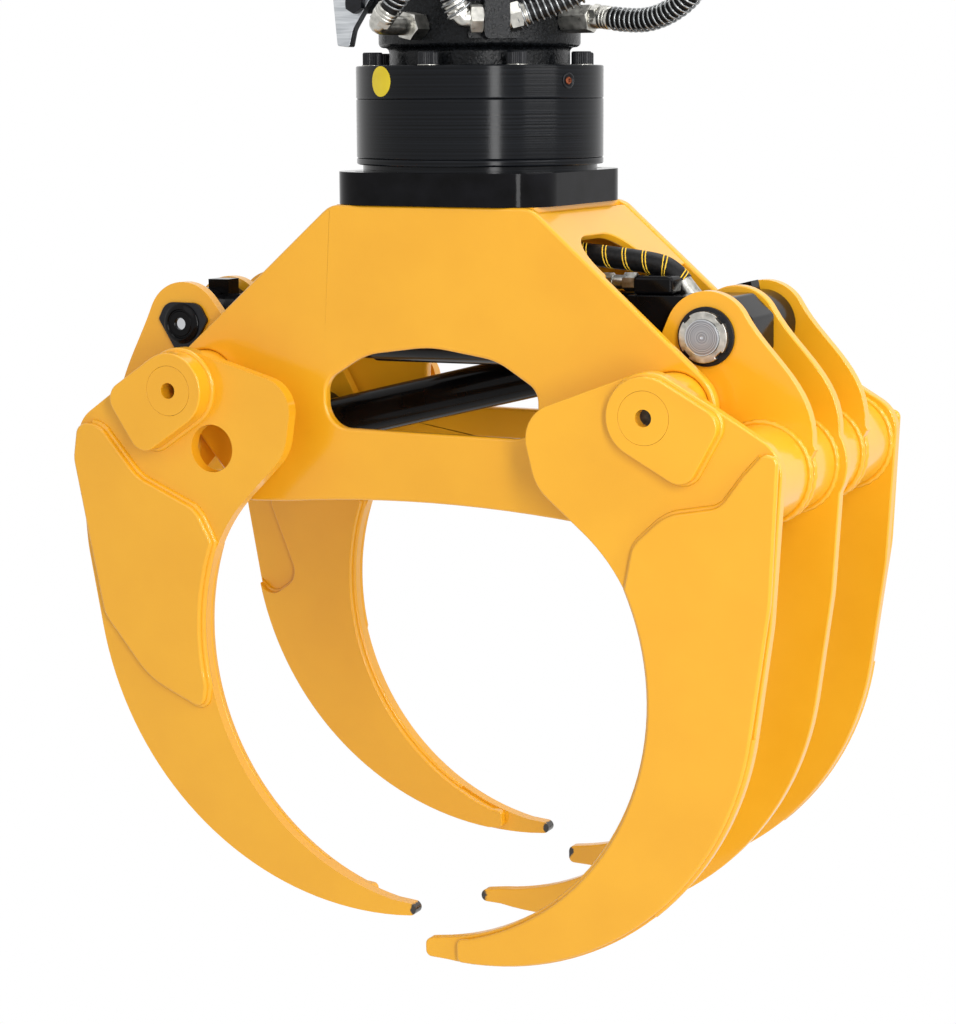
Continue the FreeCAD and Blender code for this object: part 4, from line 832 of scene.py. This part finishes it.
# %% Pressure and return hoses
PRESSURE = [(38, -26, -425.5), (92, -26, -425.5), (148, -26, -430.5), (200, -26, -435.5),
            (245.7, -26, -440.1), (269.7, -26, -447.1), (282.7, -26, -462.4)]
RETURN = [(-38, -59, -409.5), (-94.9, -59, -409.5), (-112.9, -59, -428.5), (-112.9, -59, -454.9)]
THREAD_WIRE, THREAD_PITCH, THREAD_START, THREAD_GAP = 0.9, 26.0, 6.0, 5
for name, points, radius, length in (("pressure_hose", PRESSURE, 13.5, 0.252),
                                     ("return_hose", RETURN, 10.5, 0.108)):
    hose = route(name + "_smooth", points)
    line = line_of(hose)
    paint(thickened(hose, radius), hose_rubber)
    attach(hose, body_of[name])
    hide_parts(name)
    print(name, "runs", round(travel(line), 3), "m")
    if name == "pressure_hose":
        for i in range(2):
            thread = spring("hose_thread_%d" % i, line, radius - 0.2, THREAD_WIRE, THREAD_PITCH,
                            THREAD_START + THREAD_GAP * i)
            paint(thread, yellow_thread)
            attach(thread, body_of[name])

# %% [markdown]
# ## Cap screws
# Eight blackened cap screws hold the housing together. A screw's head is turned, its side is
# knurled for the fingers and a hexagon is broached in its top. One is made and copied round the
# circle. The paint under each head is broken and leaves a bright ring.

# %% One cap screw
SCREW_COUNT, SCREW_CIRCLE, COVER_TOP = 8, 138, -204
KNURLS = 64
SEAT = [(11, 0), (13.4, 0), (13.4, 0.5), (12.6, 1.0), (11, 1.0)]
screw = turned("cap_screw", [(0, 0), (12, 0), (12, 14.6), (11, 16), (0, 16)], KNURLS)
for vertex in screw.data.vertices:
    across = math.hypot(vertex.co.x, vertex.co.y)
    if across > 0.0119:
        notch = round(math.atan2(vertex.co.y, vertex.co.x) / (2 * math.pi / KNURLS)) % 2
        vertex.co.xy *= 1.02 if notch else 0.97
clear()
bpy.ops.mesh.primitive_cylinder_add(vertices=6, radius=0.0081, depth=0.018, location=(0, 0, 0.0175))
broach = settle(bpy.context.object)
modify(screw, "BOOLEAN", operation="DIFFERENCE", object=broach)
bpy.data.objects.remove(broach)
smooth(screw, 25)
print(len(screw.data.polygons), "faces in one screw")

# %% [markdown]
# ## A circle of screws
# What repeats is made once and copied, each copy with its own mesh. The copies are turned a little
# against each other, because nobody lines up the sockets of tightened screws.

# %% Eight copies and their seats
screws, seats = [], []
for i in range(SCREW_COUNT):
    angle = 2 * math.pi * i / SCREW_COUNT
    spot = (SCREW_CIRCLE * math.cos(angle), SCREW_CIRCLE * math.sin(angle), COVER_TOP)
    screws.append(put(copied(screw), spot, (0, 0, 1), 0.4 * i))
    seats.append(put(turned("screw_seat", SEAT, 40), spot, (0, 0, 1)))
bpy.data.objects.remove(screw)
# the screw that holds the hook plate
screws.append(put(hexagon("hook_screw", 22, 11), (-129, -78, -128), (0, -1, 0)))
screws = paint(joined(screws, "cap_screws"), black_oxide)
seats = paint(joined(seats, "screw_seats"), zinc)
for piece, slot in ((screws, "black_oxide"), (seats, "zinc")):
    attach(piece, "rotator_body")
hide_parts("housing_screws")
print(len(screws.data.polygons), "faces in the screws")

# %% [markdown]
# ## On the upper cover
# A round yellow sticker and a countersunk plug break up the black side of the cover. The sticker is
# a thin disc wrapped round the cylinder, so it is drawn flat, divided and bent in place.

# %% Sticker
STICKER_AZIMUTH, STICKER_RADIUS, COVER_MIDDLE, COVER_RADIUS = -114.6, 0.0182, -223, 153.6


def wrapped(obj, azimuth, level, reach):
    """Wrap a flat piece, drawn in millimetres as metres in XY, round the cover."""
    for vertex in obj.data.vertices:
        angle = math.radians(azimuth) + vertex.co.x / (reach / 1000)
        out = reach / 1000 + vertex.co.z
        vertex.co = (out * math.cos(angle), out * math.sin(angle), level / 1000 + vertex.co.y)
    return obj


clear()
bpy.ops.mesh.primitive_circle_add(vertices=64, radius=STICKER_RADIUS, fill_type="TRIFAN")
sticker = settle(bpy.context.object)
bpy.ops.object.mode_set(mode="EDIT")
bpy.ops.mesh.select_all(action="SELECT")
bpy.ops.mesh.subdivide(number_cuts=4)
bpy.ops.object.mode_set(mode="OBJECT")
modify(sticker, "SOLIDIFY", thickness=0.0003, offset=1.0)
modify(sticker, "BEVEL", width=0.0001, segments=1)
wrapped(sticker, STICKER_AZIMUTH, COVER_MIDDLE, COVER_RADIUS)
sticker.name = "plain_sticker"
smooth(sticker)
print(len(sticker.data.polygons), "faces in the sticker")

# %% [markdown]
# ## A blanking plug
# The plug is a shallow dish with a smaller screw in it, sealed by copper. Both are turned sections
# that look out of the cover along one way, so they share it.

# %% Plug
PLUG_AZIMUTH = math.radians(-20)
PLUG = [(0, 0), (9.6, 0), (9.6, 1.6), (8.6, 2.2), (7.2, 1.6), (6.4, 0.6), (0, 0.6)]
PLUG_SCREW = [(0, 0), (4.6, 0), (4.6, 1.5), (4.0, 2.1), (2.4, 2.1), (2.2, 1.2), (0, 1.2)]
plug_way = Vector((math.cos(PLUG_AZIMUTH), math.sin(PLUG_AZIMUTH), 0))
plug_level = Vector((0, 0, COVER_MIDDLE))
plug = put(turned("plug", PLUG), plug_way * 152.6 + plug_level, plug_way)
plug_screw = put(turned("plug_screw", PLUG_SCREW), plug_way * 152.9 + plug_level, plug_way)
for piece, made, slot in ((sticker, vinyl, "yellow_paint"), (plug, black_oxide, "black_oxide"),
                          (plug_screw, copper_seal, "bronze")):
    paint(piece, made)
    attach(piece, "rotator_body")
print("plug at", [round(value) for value in plug_way * 152.6 + plug_level], "mm")

# %% [markdown]
# ## Pin ends
# The right horn's pin ends in a faced steel end with a centre drilling, inside a plated slotted nut.
# The left horn's pin is held by a black plate, and a domed black button with a drilling covers it. The faced
# end and the button are turned sections. The rod is one node, so its eye is made black face by face.

# %% Faced end, button and the rod's black eye
RIGHT_HORN, LEFT_HORN = (344.97, -518.13), (-366.7, -527.0)
NUT_FRONT, KEEPER_FRONT = -120, -125
FACED_END = [(0, -1.6), (2.0, 0.5), (19.4, 0.5), (20.4, -0.4), (20.4, -3)]
BUTTON = [(7.6, -1), (7.6, 2.2), (8.6, 3.0), (15.5, 3.0), (16.6, 1.9), (17.8, 1.9), (19, 3.6),
          (23, 2.8), (25.6, 0.6), (25.8, -0.6), (22, -0.6)]
EYE_START = -0.318
pin_face = put(turned("right_pin_end", FACED_END, 72), (RIGHT_HORN[0], NUT_FRONT, RIGHT_HORN[1]), (0, -1, 0))
smooth(pin_face, 12)
paint(pin_face, faced_steel("faced_pin_end", (RIGHT_HORN[0] / 1000, 0, RIGHT_HORN[1] / 1000)))
button = put(turned("left_pin_button", BUTTON, 72), (LEFT_HORN[0], KEEPER_FRONT, LEFT_HORN[1]), (0, -1, 0))
paint(button, gloss_enamel)
for piece, body, slot in ((pin_face, body_of["right_horn_pin"], "bright_steel"),
                          (button, body_of["left_pin_keeper"], "black_oxide")):
    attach(piece, body)

rod = softened("piston_rod", 1.5)
rod.data.materials.append(gloss_enamel)
for face in rod.data.polygons:
    face.material_index = 1 if face.center.x < EYE_START else 0
print(sum(face.material_index for face in rod.data.polygons), "faces of the rod's eye are black")

# %% [markdown]
# ## Weld beads
# Plates and tubes are joined by fillet welds that the paint runs over. On a tube the bead is a ring
# with the small scallops that each dip of the wire leaves, so a torus is pushed in and out by two
# waves.


# %% Rings on the cross tubes
def ring_bead(place, radius_mm, across_mm):
    """A scalloped ring about an axis along Y."""
    clear()
    bpy.ops.mesh.primitive_torus_add(major_radius=radius_mm / 1000, minor_radius=across_mm / 1000,
                                     major_segments=128, minor_segments=8)
    obj = settle(bpy.context.object)
    for vertex in obj.data.vertices:
        angle = math.atan2(vertex.co.y, vertex.co.x)
        scallops = 0.007 * math.sin(32 * angle)
        drift = 0.005 * math.sin(5 * angle + place[0])
        vertex.co.xy *= 1 + scallops + drift
    smooth(obj, 60)
    return put(obj, place, (0, 1, 0))


RING_RADIUS, RING_ACROSS = 58.5, 4.2
TUBES = {"left": ((-407.5, -683), (-187, -119, -104, -8, 8, 104, 119, 187)),
         "right": ((415.3, -674.4), (-204, -104, -89, -8, 8, 89, 104, 204))}
for side, ((x, z), levels) in TUBES.items():
    beads = [ring_bead((x, y, z), RING_RADIUS, RING_ACROSS) for y in levels]
    rings = joined(beads, side + "_tube_welds")
    paint(rings, yellow_coat)
    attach(rings, body_of[side + "_cross_tube"])
    print(len(levels), "beads on the", side, "tube")

# %% [markdown]
# ## Beads round a foot
# Round a pad or a wear plate the weld follows the plate's own foot. So the sharp edges at that
# level are copied from the plate, made a curve and given a round section. The outermost and the
# lowest edges are left without, because there the bead is ground off.

# %% Beads round pads and wear plates
OUTERMOST, LOWEST = 0.452, -1.19
FEET = (("left_pin_pads", 203, 4.5), ("right_pin_pads", 220, 4.0), ("left_wear_plates", 203, 4.5),
        ("right_wear_plates", 220, 4.0), ("left_inner_wear_plates", 187, 4.0))


def foot_bead(name, level_mm, across_mm):
    """A bead along a node's sharp edges at a distance from the middle plane."""
    obj = merged_copy(name, "_weld")
    mesh = bmesh.new()
    mesh.from_mesh(obj.data)
    keep = set()
    for edge in mesh.edges:
        ends = [abs(abs(vertex.co.y) * 1000 - level_mm) < 0.3 for vertex in edge.verts]
        sharp = len(edge.link_faces) == 2 and edge.calc_face_angle() > math.radians(30)
        middle = (edge.verts[0].co + edge.verts[1].co) / 2
        inside = abs(middle.x) < OUTERMOST and middle.z > LOWEST
        if all(ends) and sharp and inside and not near_pin(middle, PIN_COLLAR_MM):
            keep.add(edge)
    bmesh.ops.delete(mesh, geom=mesh.faces[:], context="FACES_ONLY")
    bmesh.ops.delete(mesh, geom=[edge for edge in mesh.edges if edge not in keep], context="EDGES")
    bmesh.ops.delete(mesh, geom=[vertex for vertex in mesh.verts if not vertex.link_edges], context="VERTS")
    mesh.to_mesh(obj.data)
    mesh.free()
    only(obj)
    bpy.ops.object.convert(target="CURVE")
    obj = thickened(bpy.context.object, across_mm, 2)
    obj = settle(obj)
    paint(smooth(obj, 60), yellow_coat)
    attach(obj, body_of[name])
    return obj


for name, level_mm, across_mm in FEET:
    bead = foot_bead(name, level_mm, across_mm)
    print(bead.name, "has", len(bead.data.polygons), "faces")

# %% [markdown]
# ## The studio
# The grapple hangs from its rotator, well above a pale floor, and big soft lamps stand round it.
# They are weak, so that a colour renders about as it is written. The strip lamp is there for the
# black steel alone: it draws the upright highlight on the rotator's housing.


# %% Lamps
MIDDLE = (cad_box[0] + cad_box[1]) / 2


def lamp(name, place, target, size, power):
    """A square soft lamp, in metres and watts, turned to a target."""
    data = bpy.data.lights.new(name, "AREA")
    data.shape, data.size, data.energy = "SQUARE", size, power
    obj = bpy.data.objects.new(name, data)
    bpy.context.scene.collection.objects.link(obj)
    obj.location = place
    obj.rotation_mode = "QUATERNION"
    obj.rotation_quaternion = (Vector(target) - Vector(place)).to_track_quat("-Z", "Y")
    return obj


lamp("key", (-0.6, -3.6, 1.6), MIDDLE, 2.6, 21)
lamp("side", (3.4, -0.4, 0.8), MIDDLE, 2.2, 72)
lamp("top", (0.4, 0.6, 2.6), MIDDLE, 2.4, 50)
strip = lamp("strip", (1.95, -2.35, 0.1), (0, 0, -0.3), 2.4, 50)
strip.data.shape, strip.data.size, strip.data.size_y = "RECTANGLE", 0.45, 2.2

# %% [markdown]
# ## Floor
# The floor catches the grapple's soft light from below but looks white. It glows for the camera
# and in mirrors alone, which the light path tells, so it sends no more light to the steel.

# %% Floor
FLOOR_DROP = 0.9


def seen_white(tree):
    """Two ends of a light path: what the camera sees directly, and what it sees in a mirror."""
    rays = add(tree, "LightPath")
    seen = add(tree, "Math", {"operation": "MAXIMUM"}, _0=(rays, "Is Camera Ray"), _1=(rays, "Is Glossy Ray"))
    return rays, seen


clear()
bpy.ops.mesh.primitive_plane_add(size=30, location=(0, 0, cad_box[0].z - FLOOR_DROP))
floor = settle(bpy.context.object)
floor.name = "floor"
pale, tree, shader = finish("pale_floor", Roughness=0.9)
shader.inputs["Base Color"].default_value = linear("#F2F2F0")
_, seen = seen_white(tree)
white = add(tree, "Emission", {"Strength": 1.0, "Color": (1, 1, 1, 1)})
both = add(tree, "MixShader", None, _0=(seen, "Value"), _1=(shader, "BSDF"), _2=(white, "Emission"))
tree.links.new(both.outputs["Shader"], tree.nodes["Material Output"].inputs["Surface"])
floor.data.materials.append(pale)
print("floor at", round(cad_box[0].z - FLOOR_DROP, 2), "m")

# %% [markdown]
# ## World
# The world is white all round. Steel is lit by about half of it, and the camera, mirrors and glass
# see all of it, so that the backdrop is white and the yellow isn't washed out.

# %% World
world = bpy.data.worlds.new("studio")
bpy.context.scene.world = world
world.use_nodes = True
tree = world.node_tree
tree.nodes.clear()
rays, seen = seen_white(tree)
through = add(tree, "Math", {"operation": "MAXIMUM"}, _0=(seen, "Value"), _1=(rays, "Is Transmission Ray"))
soft_light = add(tree, "Background", {"Color": (1, 1, 1, 1), "Strength": 0.52})
backdrop = add(tree, "Background", {"Color": (1, 1, 1, 1), "Strength": 1.0})
either = add(tree, "MixShader", None,
             _0=(through, "Value"), _1=(soft_light, "Background"), _2=(backdrop, "Background"))
add(tree, "OutputWorld", None, Surface=(either, "Shader"))

# %% [markdown]
# ## View settings
# The standard view transform shows each colour without a film curve.

# %% View settings and the last line
bpy.context.scene.view_settings.view_transform = "Standard"
